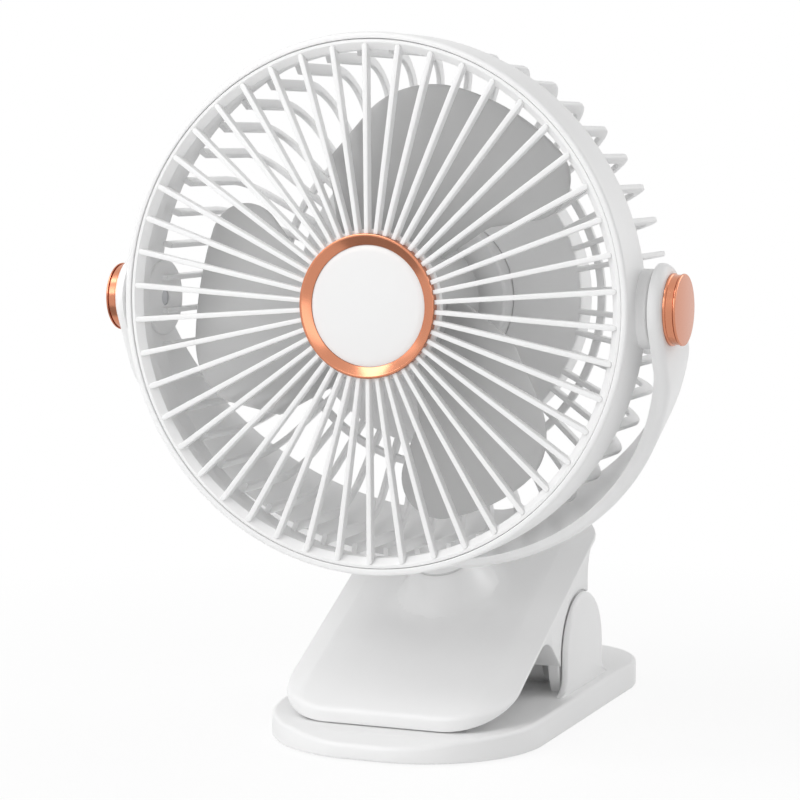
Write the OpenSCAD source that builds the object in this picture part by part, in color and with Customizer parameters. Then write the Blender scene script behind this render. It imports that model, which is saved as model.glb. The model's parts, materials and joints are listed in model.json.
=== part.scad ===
// Portable camping fan on a sprung clip base.
// Millimetres. +Z up, front of the fan faces -Y, +X is the fan's left-to-right width axis.
// Origin: middle of the base footprint, on the surface the base stands on.

/* [Head] */
// Tilt axis position along the base, negative is towards the front
tilt_y = -56; // [-70:0.5:-40]
// Outside diameter of the cage band
head_d = 158; // [140:1:180]
// Wall of the cage band
band_wall = 2.6; // [2:0.1:4]
// Wall left beside the grille's seat in the front of the band
seat_wall = 1.95; // [1:0.05:2.5]
// Depth of the grille's seat
seat_depth = 6.8; // [4:0.1:9]
// Width of the grille's outer ring
ring_w = 3; // [2.5:0.1:5]
// Width of the flat lip at the front of the grille's outer ring
ring_lip = 1; // [0.5:0.1:1.5]
// Front edge of the band, measured from the tilt axis
band_front = -18.7; // [-24:0.1:-14]
// Rear edge of the band, measured from the tilt axis
band_back = 0; // [-6:0.5:6]
// Number of straight ribs in the front grille
rib_count = 46; // [36:1:60]
// Rib half width where it meets the hub
rib_in = 0.7; // [0.5:0.05:1.2]
// Rib half width where it laps the rim
rib_out = 0.85; // [0.7:0.05:1.6]
// Depth of a rib from front to back
rib_depth = 2.8; // [2:0.1:4]
// Number of bent fins in the rear cage
fin_count = 46; // [36:1:60]
// Thickness of one rear fin
fin_t = 1.6; // [1.2:0.1:2.4]
// Depth of one rear fin, in its own plane
fin_w = 3.6; // [3:0.1:6]
// Outside radius of the bend in a rear fin
fin_bend = 12; // [6:0.5:20]
// Rear face of the cage, measured from the tilt axis
cage_back = 40; // [34:0.5:48]
// Mid radius of the ring that ties the rear fins together
tie_r = 53.1; // [50:0.1:60]
// Radius of the plate in the middle of the rear cage
pod_r = 47; // [40:0.5:50]

/* [Hub] */
// Outside radius of the rose-gold hub ring
hub_r = 21.1; // [18:0.1:25]
// Inside radius of the rose-gold hub ring
hub_in_r = 17.8; // [14:0.1:20]

/* [Impeller and motor] */
// Gap from the blade tips to the inside of the band
tip_gap = 7.9; // [5:0.1:12]
// Radius of the two rounded tip corners of a blade
corner_r = 17; // [10:0.5:20]
// Blade thickness
blade_t = 1.7; // [1.2:0.1:2.5]
// Camber radius of a blade
camber_r = 120; // [100:5:160]
// Radius of the impeller hub
fan_hub_r = 19; // [15:0.5:22]
// Motor shaft radius
shaft_r = 1.5; // [1:0.1:2.5]
// Radius of the fixed motor housing
housing_r = 25.3; // [22:0.1:28]
// Distance from the front of the motor housing to the rear face of the cage
housing_l = 10.2; // [8:0.1:14]
// Depth of the pod behind the rear face of the cage
pod_depth = 15; // [10:0.5:22]

/* [Yoke] */
// Forward lean of the swivel axis in degrees
lean = 26.8; // [10:0.1:40]
// Gap from the cage band to the half-round yoke
yoke_gap = 5; // [4:0.1:9]
// Thickness of the half-round yoke
yoke_t = 4.6; // [3:0.1:6]
// Half width of the yoke band
yoke_half_w = 13.2; // [10:0.1:16]
// Gap from the cage band to the inner flats of the yoke arms
arm_gap = 3.8; // [3:0.1:4.5]
// Thickness of the yoke arms at the tilt axis
arm_t = 3.6; // [3:0.1:4.5]
// Radius of the rose-gold pivot caps
cap_r = 10.4; // [8:0.1:13]
// How far a pivot cap stands out from the yoke arm
cap_t = 3.7; // [2.5:0.1:6]
// Tilt screw shank radius
pivot_r = 2.5; // [2:0.1:4]
// Radius of the swivel spigot under the yoke
spigot_r = 5; // [4:0.1:6]
// Radius of the neck the yoke turns on
neck_r = 12.4; // [11:0.1:16]

/* [Clip] */
// Height of the jaw's sloping face above the table, straight under the tilt axis
face_h = 16.34; // [15:0.02:18]
// Height of the neck that rises from the sloping face
neck_h = 12; // [9:0.1:18]
// How far the neck flares out where it meets the sloping face
neck_flare = 16.4; // [10:0.2:20]
// Half width of the upper jaw
jaw_half_w = 37.5; // [30:0.5:40]
// Thickness of the jaw tongue
tongue_t = 3.8; // [3:0.1:6]
// Front edge of the jaw lip along the base
lip_y = -64.2; // [-68:0.1:-60]
// Height of the underside of the lip
lip_bottom = 8; // [7.9:0.1:9]
// Corner radius of the jaw lip, seen from above
lip_r = 19; // [12:0.5:26]
// Width of the bevel down each side of the face
bevel_w = 8.5; // [5:0.1:10]
// Hinge axis of the clip along the base
hinge_y = 11; // [0:0.5:20]
// Hinge axis of the clip above the table
hinge_z = 21; // [18:0.5:26]
// Hinge pin radius
hinge_r = 2; // [1.5:0.1:3]
// Radius of the rounded hinge ears
ear_r = 18.2; // [14:0.1:22]
// Outer face of the hinge ears
ear_out = 39.4; // [36:0.1:42]
// Inner face of the hinge ears
ear_in = 30; // [28:0.1:34]

/* [Base] */
// Width of the base plate
base_w = 86; // [70:1:100]
// Length of the base plate
base_l = 156; // [120:1:170]
// Height of the top of the base plate above the table
base_top = 9.5; // [7:0.1:14]
// Height of the front edge of the base plate
base_nose = 6.9; // [5:0.1:8]
// Height of the upright wall at the very front, under the front bevel
nose_wall = 5.2; // [4:0.1:6.5]
// Length of the front bevel
nose_bevel = 7; // [4:0.5:12]
// Length of the ramp that rises from the front edge to the flat top
ramp_l = 46; // [20:1:60]
// Radius of the front corners of the base plate
front_corner = 34; // [20:1:43]
// Radius of the rear corners of the base plate
rear_corner = 28; // [15:1:43]

/* [Hidden] */
$fn = 96;
running = 0.05;
blade_count = 3;
washer_t = 0.7;
head_r = head_d / 2;
band_in_r = head_r - band_wall;
seat_r = head_r - seat_wall;
tip_r = band_in_r - tip_gap;
tilt_boss_r = 11.5;
plate_y = 16.6;
fan_hub_front = -9.5;
pod_wall = 2.2;
pod_back = cage_back + pod_depth;
housing_front = cage_back - housing_l;
housing_back = cage_back + 5.2;
housing_wall = 1.8;
bell_r = housing_r - 4.7;
bell_wall = 1.2;
bearing_r = 3.5;
bearing_w = 3;
screw_d = pod_r - 12.5;
screw_r = 1.55;
yoke_in_r = head_r + yoke_gap;
yoke_out_r = yoke_in_r + yoke_t;
arm_in = head_r + arm_gap;
arm_out = arm_in + arm_t;
cap_out = arm_out + cap_t;
boss_end = yoke_out_r + 3.8;
neck_top = boss_end + 0.8;
neck_floor = neck_top + 3.4;
face_d = neck_top + neck_h;
tilt_z = face_h + face_d / cos(lean);
crest_y = 32.7;
foot_h = 0.6;
pad_t = 1.6;
pad_w = base_w / 2 + 1;
pad_front_l = 12;
pad_rear_l = 14;
pad_inset = 16;
grip_w = 52;
grip_l = 20;
grip_y = 17;
grip_sink = 1.2;
jaw_pad_w = 40;
jaw_pad_l = 18;
jaw_pad_t = 0.9;
pin_half = ear_out - 4.9;
knuckle_r = 11.2;
pocket_r = 5.2;
spring_half = 12.5;
cell_r = 9.15;
cell_len = 49.5;
cell_y = 5.4;
cell_z = 35.2;
cover_y = 18.9;
cover_w = 47.6;
cover_h = 17.6;
cover_z = 26.2;
cover_t = 2.1;
cover_fit = 0.2;
button_r = 4;
button_z = 38;
lens_r = 1.5;
socket_w = 9;
socket_h = 3.2;
socket_z = 29.6;

// ---- placing helpers -------------------------------------------------------

// head frame: origin where the tilt axis crosses the middle of the fan
module head() { translate([0, tilt_y, tilt_z]) children(); }

// leaning frame: same origin, local Z along the swivel axis
module leaning() { head() rotate([lean, 0, 0]) children(); }

// round bar along Y from y0 to y1
module bar_y(y0, y1, r) { translate([0, y0, 0]) rotate([-90, 0, 0]) cylinder(h = y1 - y0, r = r); }

// ring along Y
module ring_y(y0, y1, ro, ri) {
    difference() {
        bar_y(y0, y1, ro);
        bar_y(y0 - 1, y1 + 1, ri);
    }
}

// round bar along X from x0 to x1
module bar_x(x0, x1, r) { translate([x0, 0, 0]) rotate([0, 90, 0]) cylinder(h = x1 - x0, r = r); }

// block along X between x0 and x1 whose side profile is drawn in (y, z)
module slab_x(x0, x1) {
    translate([x0, 0, 0]) rotate([90, 0, 90]) linear_extrude(x1 - x0) children();
}

// copy onto both sides
module both() { children(); mirror([1, 0, 0]) children(); }

// points along an arc about (cx, cy)
function arc(cx, cy, r, from, to, steps) =
    [for (i = [0 : steps]) let (a = from + (to - from) * i / steps) [cx + r * cos(a), cy + r * sin(a)]];

// ---- base ------------------------------------------------------------------

module footprint(inset) {
    hw = base_w / 2 - inset;
    hl = base_l / 2 - inset;
    fr = front_corner - inset;
    rr = rear_corner - inset;
    for (s = [-1, 1]) {
        translate([s * (hw - fr), -hl + fr]) circle(fr);
        translate([s * (hw - rr), hl - rr]) circle(rr);
    }
    translate([-hw + fr, -hl]) square([2 * (hw - fr), 2 * hl]);
    translate([-hw + rr, 0]) square([2 * (hw - rr), hl]);
    translate([-hw, -hl + fr]) square([2 * hw, 2 * hl - fr - rr]);
}

module ear_profile() {
    foot = 6;
    translate([hinge_y, hinge_z]) circle(ear_r);
    translate([hinge_y - ear_r, base_top - 1]) square([2 * ear_r, hinge_z - base_top + 1]);
    for (s = [-1, 1]) difference() {
        translate([hinge_y + s * (ear_r + foot / 2), base_top + foot / 2 - 0.5])
            square([foot, foot + 1], center = true);
        translate([hinge_y + s * (ear_r + foot), base_top + foot]) circle(foot);
    }
}

// height of the ramp above the table at a distance from the front edge
function ramp_height(d) = base_nose + (base_top - base_nose) * d / ramp_l;

// frame on the ramp: origin at its front edge, local Z square to the ramp
module on_ramp() {
    translate([0, -base_l / 2, base_nose]) rotate([atan2(base_top - base_nose, ramp_l), 0, 0])
        children();
}

module base_plate() {
    color("white") difference() {
        union() {
            translate([0, 0, foot_h]) linear_extrude(base_top - foot_h) footprint(0);
            both() slab_x(ear_in, ear_out) ear_profile();
        }
        // the top ramps down to a thinner front edge
        on_ramp() translate([-base_w, -10, 0]) cube([2 * base_w, ramp_l + 10.05, 10]);
        // and is bevelled down to a low wall at the very front
        translate([0, -base_l / 2, nose_wall])
            rotate([atan2(ramp_height(nose_bevel) - nose_wall, nose_bevel), 0, 0])
                translate([-base_w, -10, 0]) cube([2 * base_w, nose_bevel + 11, 10]);
        // pockets for the rubber parts
        translate([0, 0, -1]) linear_extrude(1 + pad_t) pad_front_outline();
        translate([0, 0, -1]) linear_extrude(1 + pad_t) pad_rear_outline();
        on_ramp() translate([-grip_w / 2, grip_y, -grip_sink]) cube([grip_w, grip_l, 3]);
        // hinge pin bores
        translate([0, hinge_y, hinge_z]) bar_x(-pin_half, pin_half, hinge_r);
    }
}

module pad_front_outline() {
    translate([-pad_w / 2, -base_l / 2 + pad_inset + 1]) square([pad_w, pad_front_l]);
}
module pad_rear_outline() {
    translate([-pad_w / 2, base_l / 2 - pad_inset + 1 - pad_rear_l]) square([pad_w, pad_rear_l]);
}

module foot_pad_front() { color("dimgray") linear_extrude(pad_t) pad_front_outline(); }
module foot_pad_rear() { color("dimgray") linear_extrude(pad_t) pad_rear_outline(); }

module lower_grip_pad() {
    color("gainsboro") on_ramp() translate([-grip_w / 2, grip_y, -grip_sink]) {
        cube([grip_w, grip_l, grip_sink + 0.3]);
        for (y = [3 : 4 : grip_l - 2]) translate([2, y, grip_sink + 0.2]) cube([grip_w - 4, 1.2, 0.5]);
    }
}

// ---- upper jaw -------------------------------------------------------------

// height of the sloping face above the table at a place along the base
function face_z(y) = tilt_z - (face_d + (y - tilt_y) * -sin(lean)) / cos(lean);

// frame on the sloping face: origin at its front edge, local Z square to the face
module on_face() { translate([0, lip_y, face_z(lip_y)]) rotate([lean, 0, 0]) children(); }

// outline of the jaw seen from above
module jaw_outline() {
    rear_r = 7;
    w = jaw_half_w;
    for (s = [-1, 1]) {
        translate([s * (w - lip_r), lip_y + lip_r]) circle(lip_r);
        translate([s * (w - rear_r), crest_y - rear_r]) circle(rear_r);
    }
    translate([-w + lip_r, lip_y]) square([2 * (w - lip_r), lip_r + 1]);
    translate([-w, lip_y + lip_r]) square([2 * w, crest_y - lip_y - lip_r - rear_r]);
    translate([-w + rear_r, crest_y - rear_r - 1]) square([2 * (w - rear_r), rear_r + 1]);
}

// side view of the full-width jaw: tongue, cheeks and the overhanging rear top edge
module jaw_profile() {
    under = tongue_t / cos(lean);
    toe = tilt_y + (lip_bottom + under - face_z(tilt_y)) / tan(lean);
    arch_r = 15;
    arch_z = 13.6;
    arch_y = (arch_z + arch_r / cos(lean) + under - face_z(0)) / tan(lean);
    difference() {
        polygon(concat([[lip_y - 1, lip_bottom], [toe, lip_bottom]],
            arc(arch_y, arch_z, arch_r, 90 + lean, 18, 12),
            [[hinge_y, 18.2], [cover_y, 30], [cover_y, 43], [crest_y + 1, 57],
                [crest_y + 1, face_z(crest_y + 1)], [lip_y - 1, face_z(lip_y - 1)]]));
        translate([35, 42.6]) circle(16.1);
    }
}

module belly_profile() {
    polygon([[-22, 31], [-10, 25.5], [-3, 21], [-0.2, 17], [1, 14], [hinge_y, 12],
        [cover_y, 18], [cover_y, 50], [0, 42]]);
    translate([hinge_y, hinge_z]) circle(knuckle_r);
}

// smooth flare that rises from the sloping face to the turning joint
module neck() {
    rise = neck_h + 0.3;
    leaning() rotate_extrude() polygon(concat(
        [[0, -neck_top], [0, -face_d - 1.5], [neck_r + neck_flare, -face_d - 1.5]],
        [for (a = [0 : 7.5 : 90])
            [neck_r + neck_flare * (1 - sin(a)), -neck_top - rise * cos(a)]]));
}

module upper_jaw() {
    color("white") difference() {
        union() {
            intersection() {
                slab_x(-jaw_half_w - 1, jaw_half_w + 1) jaw_profile();
                linear_extrude(80) jaw_outline();
            }
            slab_x(-ear_in + 0.4, ear_in - 0.4) belly_profile();
            neck();
        }
        // long bevels down both sides of the face
        on_face() both() translate([jaw_half_w - bevel_w, -20, 0]) rotate([0, 20, 0])
            translate([-6, 0, 0]) cube([26, 150, 12]);
        // room for the ears, round over the hinge and open below it
        both() slab_x(ear_in - 0.4, 60) {
            translate([hinge_y, hinge_z]) circle(ear_r + 0.6);
            translate([hinge_y - ear_r - 0.6, -10]) square([60, hinge_z + 10]);
        }
        // battery room, board room and cover opening
        slab_x(-cell_len / 2 - 1.65, cell_len / 2 + 1.65) translate([cell_y, cell_z])
            circle(cell_r + 0.3);
        translate([-cover_w / 2 - cover_fit, cell_y + 1.6, cover_z - cover_fit])
            cube([cover_w + 2 * cover_fit, 20, cover_h + 2 * cover_fit]);
        // swivel bore and the hollow neck over it
        leaning() {
            translate([0, 0, -face_d]) cylinder(h = face_d - yoke_out_r, r = spigot_r + running);
            translate([0, 0, -face_d - tongue_t - 3])
                cylinder(h = face_d + tongue_t + 3 - neck_floor, r = neck_r - 2.8);
        }
        // hinge bore, spring pocket with its lower window, and a groove for the spring's upper leg
        translate([0, hinge_y, hinge_z]) {
            bar_x(-ear_out, ear_out, hinge_r + running);
            bar_x(-spring_half, spring_half, pocket_r);
            bar_x(6.6, 9.2, pocket_r + 1.2);
        }
        translate([-spring_half, hinge_y - pocket_r, 0])
            cube([2 * spring_half, pocket_r + 11.5, hinge_z]);
    }
}

module upper_grip_pad() {
    color("gainsboro") on_face()
        translate([-jaw_pad_w / 2, 0.35, -tongue_t - jaw_pad_t])
            cube([jaw_pad_w, jaw_pad_l, jaw_pad_t]);
}

module rear_cover() {
    color("white") difference() {
        translate([-cover_w / 2, cover_y - cover_t, cover_z]) cube([cover_w, cover_t, cover_h]);
        translate([0, cover_y, button_z]) bar_y(-3, 1, button_r + 0.1);
        translate([-socket_w / 2 - cover_fit, cover_y - 3, socket_z - cover_fit])
            cube([socket_w + 2 * cover_fit, 4, socket_h + 2 * cover_fit]);
        on_cover_right() bar_y(-3, 1, lens_r);
    }
}

// where the indicator's light pipe passes through the cover
module on_cover_right() { translate([cover_w / 2 - 10.8, cover_y, button_z - 3]) children(); }

module control_board() {
    color("seagreen") translate([-cover_w / 2 + 1.8, cover_y - 3.8, cover_z + 1.8])
        cube([cover_w - 3.6, 1.2, cover_h - 3]);
}

module charge_socket() {
    color("silver") difference() {
        translate([-socket_w / 2, cover_y - 2.55, socket_z]) cube([socket_w, 2.45, socket_h]);
        translate([-socket_w / 2 + 0.5, cover_y - 1.9, socket_z + 0.4])
            cube([socket_w - 1, 3, socket_h - 0.8]);
    }
}

module power_button() {
    color("white") translate([0, cover_y, button_z]) bar_y(-2, 0.8, button_r);
}

module indicator_lens() { color("lightcyan") on_cover_right() bar_y(-2.5, 0.2, lens_r); }

module battery_cell() {
    color("steelblue") translate([0, cell_y, cell_z]) {
        bar_x(-cell_len / 2, cell_len / 2, cell_r);
        bar_x(cell_len / 2 - 0.1, cell_len / 2 + 0.8, 2.6);
    }
}

module contact_left() {
    color("silver") translate([-cell_len / 2 - 1.2, cell_y - 5, cell_z - 4]) cube([1.2, 10, 8]);
}
module contact_right() {
    color("silver") translate([cell_len / 2 + 0.8, cell_y - 5, cell_z - 4]) cube([0.8, 10, 8]);
}

module hinge_pin() {
    color("silver") translate([0, hinge_y, hinge_z]) bar_x(-pin_half + 0.1, pin_half - 0.1, hinge_r);
}

// centre line of the spring: a leg on the base, seven turns round the pin, a leg on the jaw
function spring_point(i, turns, n, coil, pitch) =
    let (a = 360 * i / n) [-turns * pitch / 2 + pitch * i / n, coil * cos(a), coil * sin(a)];

module sweep_wire(path, wire, sides = 6) {
    n = len(path);
    function unit(v) = v / norm(v);
    function tangent(i) = unit(path[min(i + 1, n - 1)] - path[max(i - 1, 0)]);
    function ring(i) = let (t = tangent(i), u = unit(cross(t, [1, 0, 0])), v = cross(t, u))
        [for (k = [0 : sides - 1])
            path[i] + wire * (cos(k * 360 / sides) * u + sin(k * 360 / sides) * v)];
    polyhedron(
        points = [for (i = [0 : n - 1]) each ring(i)],
        faces = concat(
            [[for (k = [0 : sides - 1]) k]],
            [for (i = [0 : n - 2]) for (k = [0 : sides - 1]) let (m = (k + 1) % sides)
                [i * sides + k, (i + 1) * sides + k, (i + 1) * sides + m, i * sides + m]],
            [[for (k = [sides - 1 : -1 : 0]) (n - 1) * sides + k]]));
}

module clip_spring() {
    turns = 7;
    n = 18;
    coil = 3.9;
    pitch = 2.2;
    first = spring_point(0, turns, n, coil, pitch);
    last = spring_point(turns * n, turns, n, coil, pitch);
    path = concat([first + [-0.2, 0, -10.4]],
        [for (i = [0 : turns * n]) spring_point(i, turns, n, coil, pitch)],
        [last + [0.2, 0, 3.4]]);
    color("silver") translate([0, hinge_y, hinge_z]) sweep_wire(path, 0.8);
}

// ---- yoke and pivots -------------------------------------------------------

module yoke_section() {
    f = 2.6;
    difference() {
        translate([yoke_in_r, -yoke_half_w]) square([yoke_out_r - yoke_in_r, 2 * yoke_half_w]);
        for (s = [-1, 1]) difference() {
            translate([yoke_out_r - f, s * (yoke_half_w - f) + (s < 0 ? -f - 1 : 0)])
                square([f + 1, f + 1]);
            translate([yoke_out_r - f, s * (yoke_half_w - f)]) circle(f);
        }
    }
}

module yoke() {
    color("white") leaning() difference() {
        union() {
            intersection() {
                rotate([90, 0, 0]) rotate([0, 0, 180]) rotate_extrude(angle = 180) yoke_section();
                translate([-arm_out, -40, -2 * head_r]) cube([2 * arm_out, 80, 2 * head_r + 0.01]);
            }
            both() bar_x(arm_in, arm_out, yoke_half_w);
            translate([0, 0, -boss_end]) cylinder(h = boss_end - yoke_in_r - 1.2, r = 13);
            translate([0, 0, -neck_floor - 2.2])
                cylinder(h = neck_floor + 1 - yoke_out_r, r = spigot_r);
        }
        both() bar_x(arm_in - 5, arm_out + 5, pivot_r);
        translate([0, 0, -neck_floor - 5]) cylinder(h = 20, r = spigot_r - 2);
    }
}

module swivel_washer() {
    color("gainsboro") leaning() translate([0, 0, -neck_top + 0.05]) difference() {
        cylinder(h = neck_top - boss_end - 0.1, r = neck_r - 0.4);
        translate([0, 0, -1]) cylinder(h = 4, r = spigot_r);
    }
}

module swivel_retainer() {
    color("silver") leaning() translate([0, 0, -neck_floor - 1.9]) difference() {
        cylinder(h = 1.6, r = 8.2);
        translate([0, 0, -1]) cylinder(h = 4, r = spigot_r);
    }
}

module pivot_screw() {
    color("silver") head() {
        bar_x(head_r - 3.8, arm_out + 0.05, pivot_r);
        bar_x(arm_out, arm_out + 1.5, 2 * pivot_r + 0.2);
    }
}
module pivot_screw_right() { pivot_screw(); }
module pivot_screw_left() { mirror([1, 0, 0]) pivot_screw(); }

module tilt_washer() {
    color("gainsboro") head() difference() {
        bar_x(arm_in - 0.05 - washer_t, arm_in - 0.05, tilt_boss_r - 2.1);
        bar_x(head_r, arm_out, pivot_r + running);
    }
}
module tilt_washer_right() { tilt_washer(); }
module tilt_washer_left() { mirror([1, 0, 0]) tilt_washer(); }

module pivot_cap() {
    color("rosybrown") head() difference() {
        rotate([0, 90, 0]) rotate_extrude() difference() {
            translate([0, arm_out]) square([cap_r, cap_out - arm_out]);
            translate([cap_r - 0.6, arm_out + 1.5]) square([1, 0.5]);
            difference() {
                translate([cap_r - 0.9, cap_out - 0.9]) square([1, 1]);
                translate([cap_r - 0.9, cap_out - 0.9]) circle(0.9);
            }
        }
        bar_x(arm_out - 1, arm_out + 1.9, cap_r - 2.4);
    }
}
module pivot_cap_right() { pivot_cap(); }
module pivot_cap_left() { mirror([1, 0, 0]) pivot_cap(); }

// ---- head ------------------------------------------------------------------

module fin_profile() {
    ro = band_in_r + 0.4;
    translate([ro - fin_w, band_back - 2]) square([fin_w, cage_back - fin_bend - band_back + 2]);
    translate([pod_r - 0.8, cage_back - fin_w]) square([ro - fin_bend - pod_r + 0.8, fin_w]);
    translate([ro - fin_bend, cage_back - fin_bend]) intersection() {
        difference() { circle(fin_bend); circle(fin_bend - fin_w); }
        square(fin_bend);
    }
}

module rear_cage() {
    boss_out = arm_in - 0.1 - washer_t;
    color("white") head() difference() {
        union() {
            ring_y(band_front, band_back, head_r, band_in_r);
            for (i = [0 : fin_count - 1]) rotate([0, -3.2 - i * 360 / fin_count, 0])
                translate([0, 0, -fin_t / 2]) linear_extrude(fin_t) fin_profile();
            ring_y(cage_back - 2.4, cage_back - 0.3, tie_r + 1.2, tie_r - 1.2);
            ring_y(cage_back - 3.4, cage_back - 0.4, pod_r, housing_r + 0.2);
            both() intersection() {
                ring_y(band_back - 1, band_back + 13, head_r - 0.3, band_in_r);
                translate([0, -20, -13]) cube([head_r + 20, 60, 26]);
            }
            both() bar_x(band_in_r - 1.8, boss_out, tilt_boss_r);
        }
        both() bar_x(head_r - 15, head_r + 15, pivot_r + running);
        bar_y(band_front - 1, band_front + seat_depth, seat_r);
    }
}

module front_grille() {
    ring_out = seat_r - 0.15;
    y0 = band_front + 0.4;
    rib_start = hub_r + running + 0.01;
    ring_in = ring_out - ring_w;
    y1 = y0 + seat_depth - 0.5;
    rib_end = ring_out - ring_lip - rib_out - 0.27;
    color("white") head() {
        // outer ring: a flat lip, a chamfer down into the opening and a deep inner wall
        rotate([-90, 0, 0]) rotate_extrude() polygon([
            [ring_in, y1], [ring_out, y1], [ring_out, y0], [ring_out - ring_lip, y0],
            [ring_in, y0 + ring_w - ring_lip]]);
        ring_y(-plate_y, -plate_y + 2, hub_r + 1.2, 8);
        for (i = [0 : rib_count - 1]) rotate([0, -4.4 - i * 360 / rib_count, 0])
            translate([0, y0 - 0.2, 0]) rotate([-90, 0, 0]) linear_extrude(rib_depth)
                polygon(concat([[rib_start, rib_in], [rib_start, -rib_in]],
                    arc(rib_end, 0, rib_out, -90, 90, 8)));
    }
}

module hub_ring() {
    color("rosybrown") head() rotate([90, 0, 0]) rotate_extrude() polygon([
        [hub_in_r, plate_y], [hub_r, plate_y], [hub_r, plate_y + 2.2],
        [hub_r - 0.5, plate_y + 2.7], [hub_in_r + 0.3, plate_y + 1.9], [hub_in_r, plate_y + 1.6]]);
}

module hub_disc() {
    color("whitesmoke") head() rotate([90, 0, 0]) rotate_extrude()
        polygon([[0, plate_y], [hub_in_r - 0.02, plate_y], [hub_in_r - 0.02, plate_y + 1.3],
            [0, plate_y + 1.7]]);
}

// plan of one blade: a broad petal with two rounded tip corners
module blade_outline() {
    spread = 23;
    cx = (tip_r - corner_r) * cos(spread);
    cy = (tip_r - corner_r) * sin(spread);
    polygon(concat([[10, -12.5], [29, -27]], arc(cx, -cy, corner_r, -138, -spread - 5, 8),
        arc(0, 0, tip_r, -spread, spread, 8), arc(cx, cy, corner_r, spread + 5, 138, 8),
        [[29, 27], [10, 12.5]]));
}

// one cambered blade, pointing along +X, its leading edge forward
module blade() {
    pitch = 17;
    intersection() {
        rotate([90, 0, 0]) translate([0, 0, -40]) linear_extrude(60) blade_outline();
        translate([0, 7.5 - camber_r * cos(pitch), camber_r * sin(pitch)]) difference() {
            bar_x(0, 80, camber_r);
            bar_x(-1, 81, camber_r - blade_t);
        }
    }
}

module impeller() {
    wall = 1.8;
    color("silver") head() difference() {
        union() {
            difference() {
                for (i = [0 : blade_count - 1]) rotate([0, i * 360 / blade_count + 174, 0]) blade();
                bar_y(-20, 30, fan_hub_r - wall / 2);
            }
            ring_y(fan_hub_front + 1, housing_front - 5.8, fan_hub_r, fan_hub_r - wall);
            bar_y(fan_hub_front, fan_hub_front + 2.5, fan_hub_r);
            bar_y(fan_hub_front + 1, 14, shaft_r + 3);
        }
        bar_y(-20, 30, shaft_r);
        bar_y(-20, fan_hub_front + 0.9, shaft_r + 2.7);
    }
}

module impeller_nut() {
    color("silver") head() difference() {
        translate([0, fan_hub_front - 1.9, 0]) rotate([-90, 0, 0])
            cylinder(h = 2.8, r = shaft_r + 2.1, $fn = 6);
        bar_y(-20, 0, shaft_r);
    }
}

module motor_shaft() {
    color("silver") head() bar_y(fan_hub_front - 2.3, housing_back + 1.6, shaft_r);
}

module rotor_bell() {
    color("dimgray") head() difference() {
        union() {
            bar_y(housing_front + 2.1, housing_front + 3.5, bell_r);
            ring_y(housing_front + 3.4, housing_back - 1.2, bell_r, bell_r - bell_wall);
            bar_y(housing_front + 3.4, housing_front + 4.8, 2 * shaft_r);
        }
        bar_y(20, 50, shaft_r);
    }
}

module magnet_ring() {
    color("black") head() ring_y(housing_front + 4.4, housing_back - 1.4, bell_r - bell_wall,
        bell_r - bell_wall - 1.8);
}

module stator() {
    front = housing_front + 5.8;
    rear = housing_back - 2.2;
    face = bell_r - bell_wall - 2.2;
    color("orangered") head() {
        ring_y(front, rear, 2 * bearing_r + 2, bearing_r + 2.02);
        for (i = [0 : 8]) rotate([0, i * 40, 0]) {
            translate([2 * bearing_r + 1, front + 0.6, -1.6])
                cube([face - 2 * bearing_r - 3.2, rear - front - 1.2, 3.2]);
            intersection() {
                ring_y(front, rear, face, face - 2.4);
                translate([10, front - 1, -4.4]) cube([bell_r, rear - front + 2, 8.8]);
            }
        }
    }
}

module motor_base() {
    color("gainsboro") head() difference() {
        union() {
            bar_y(housing_back, housing_back + 2, screw_d + 4);
            bar_y(housing_front + 5.2, housing_back + 1, bearing_r + 2);
            screw_places() bar_y(cage_back - 0.35, pod_back - pod_wall - 0.05, screw_r + 1.85);
        }
        bar_y(housing_front, pod_back, bearing_r);
        screw_places() bar_y(housing_back - 1.2, pod_back, screw_r + running);
    }
}

module bearing(y) { color("silver") head() ring_y(y, y + bearing_w, bearing_r, shaft_r + running); }
module bearing_front() { bearing(housing_front + 5.6); }
module bearing_rear() { bearing(housing_back - 1.6); }

module motor_housing() {
    color("white") head() difference() {
        union() {
            bar_y(housing_front, housing_front + 1.6, housing_r);
            ring_y(housing_front + 0.2, housing_back, housing_r, housing_r - housing_wall);
            ring_y(cage_back - 0.35, cage_back + 1.2, housing_r + 4.7, housing_r - 1);
        }
        bar_y(housing_front - 1, housing_back + 1, 7);
    }
}

module screw_places() {
    for (a = [45 : 90 : 315]) rotate([0, a, 0]) translate([screw_d, 0, 0]) children();
}

module pod_cover() {
    r = pod_r - 1;
    color("white") head() difference() {
        rotate([-90, 0, 0]) rotate_extrude() polygon([
            [r - pod_wall, cage_back - 0.35], [r, cage_back - 0.35], [r, pod_back - 4],
            [r - 1.4, pod_back - 1.4], [r - 5, pod_back], [0, pod_back],
            [0, pod_back - pod_wall], [r - pod_wall, pod_back - pod_wall]]);
        screw_places() bar_y(cage_back, pod_back + 1, screw_r + running);
    }
}

module pod_screws() {
    color("silver") head() screw_places() {
        bar_y(housing_back + 0.8, pod_back + 0.05, screw_r);
        bar_y(pod_back, pod_back + 1.4, screw_r + 1.45);
    }
}

// ---- draw ------------------------------------------------------------------

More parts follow.
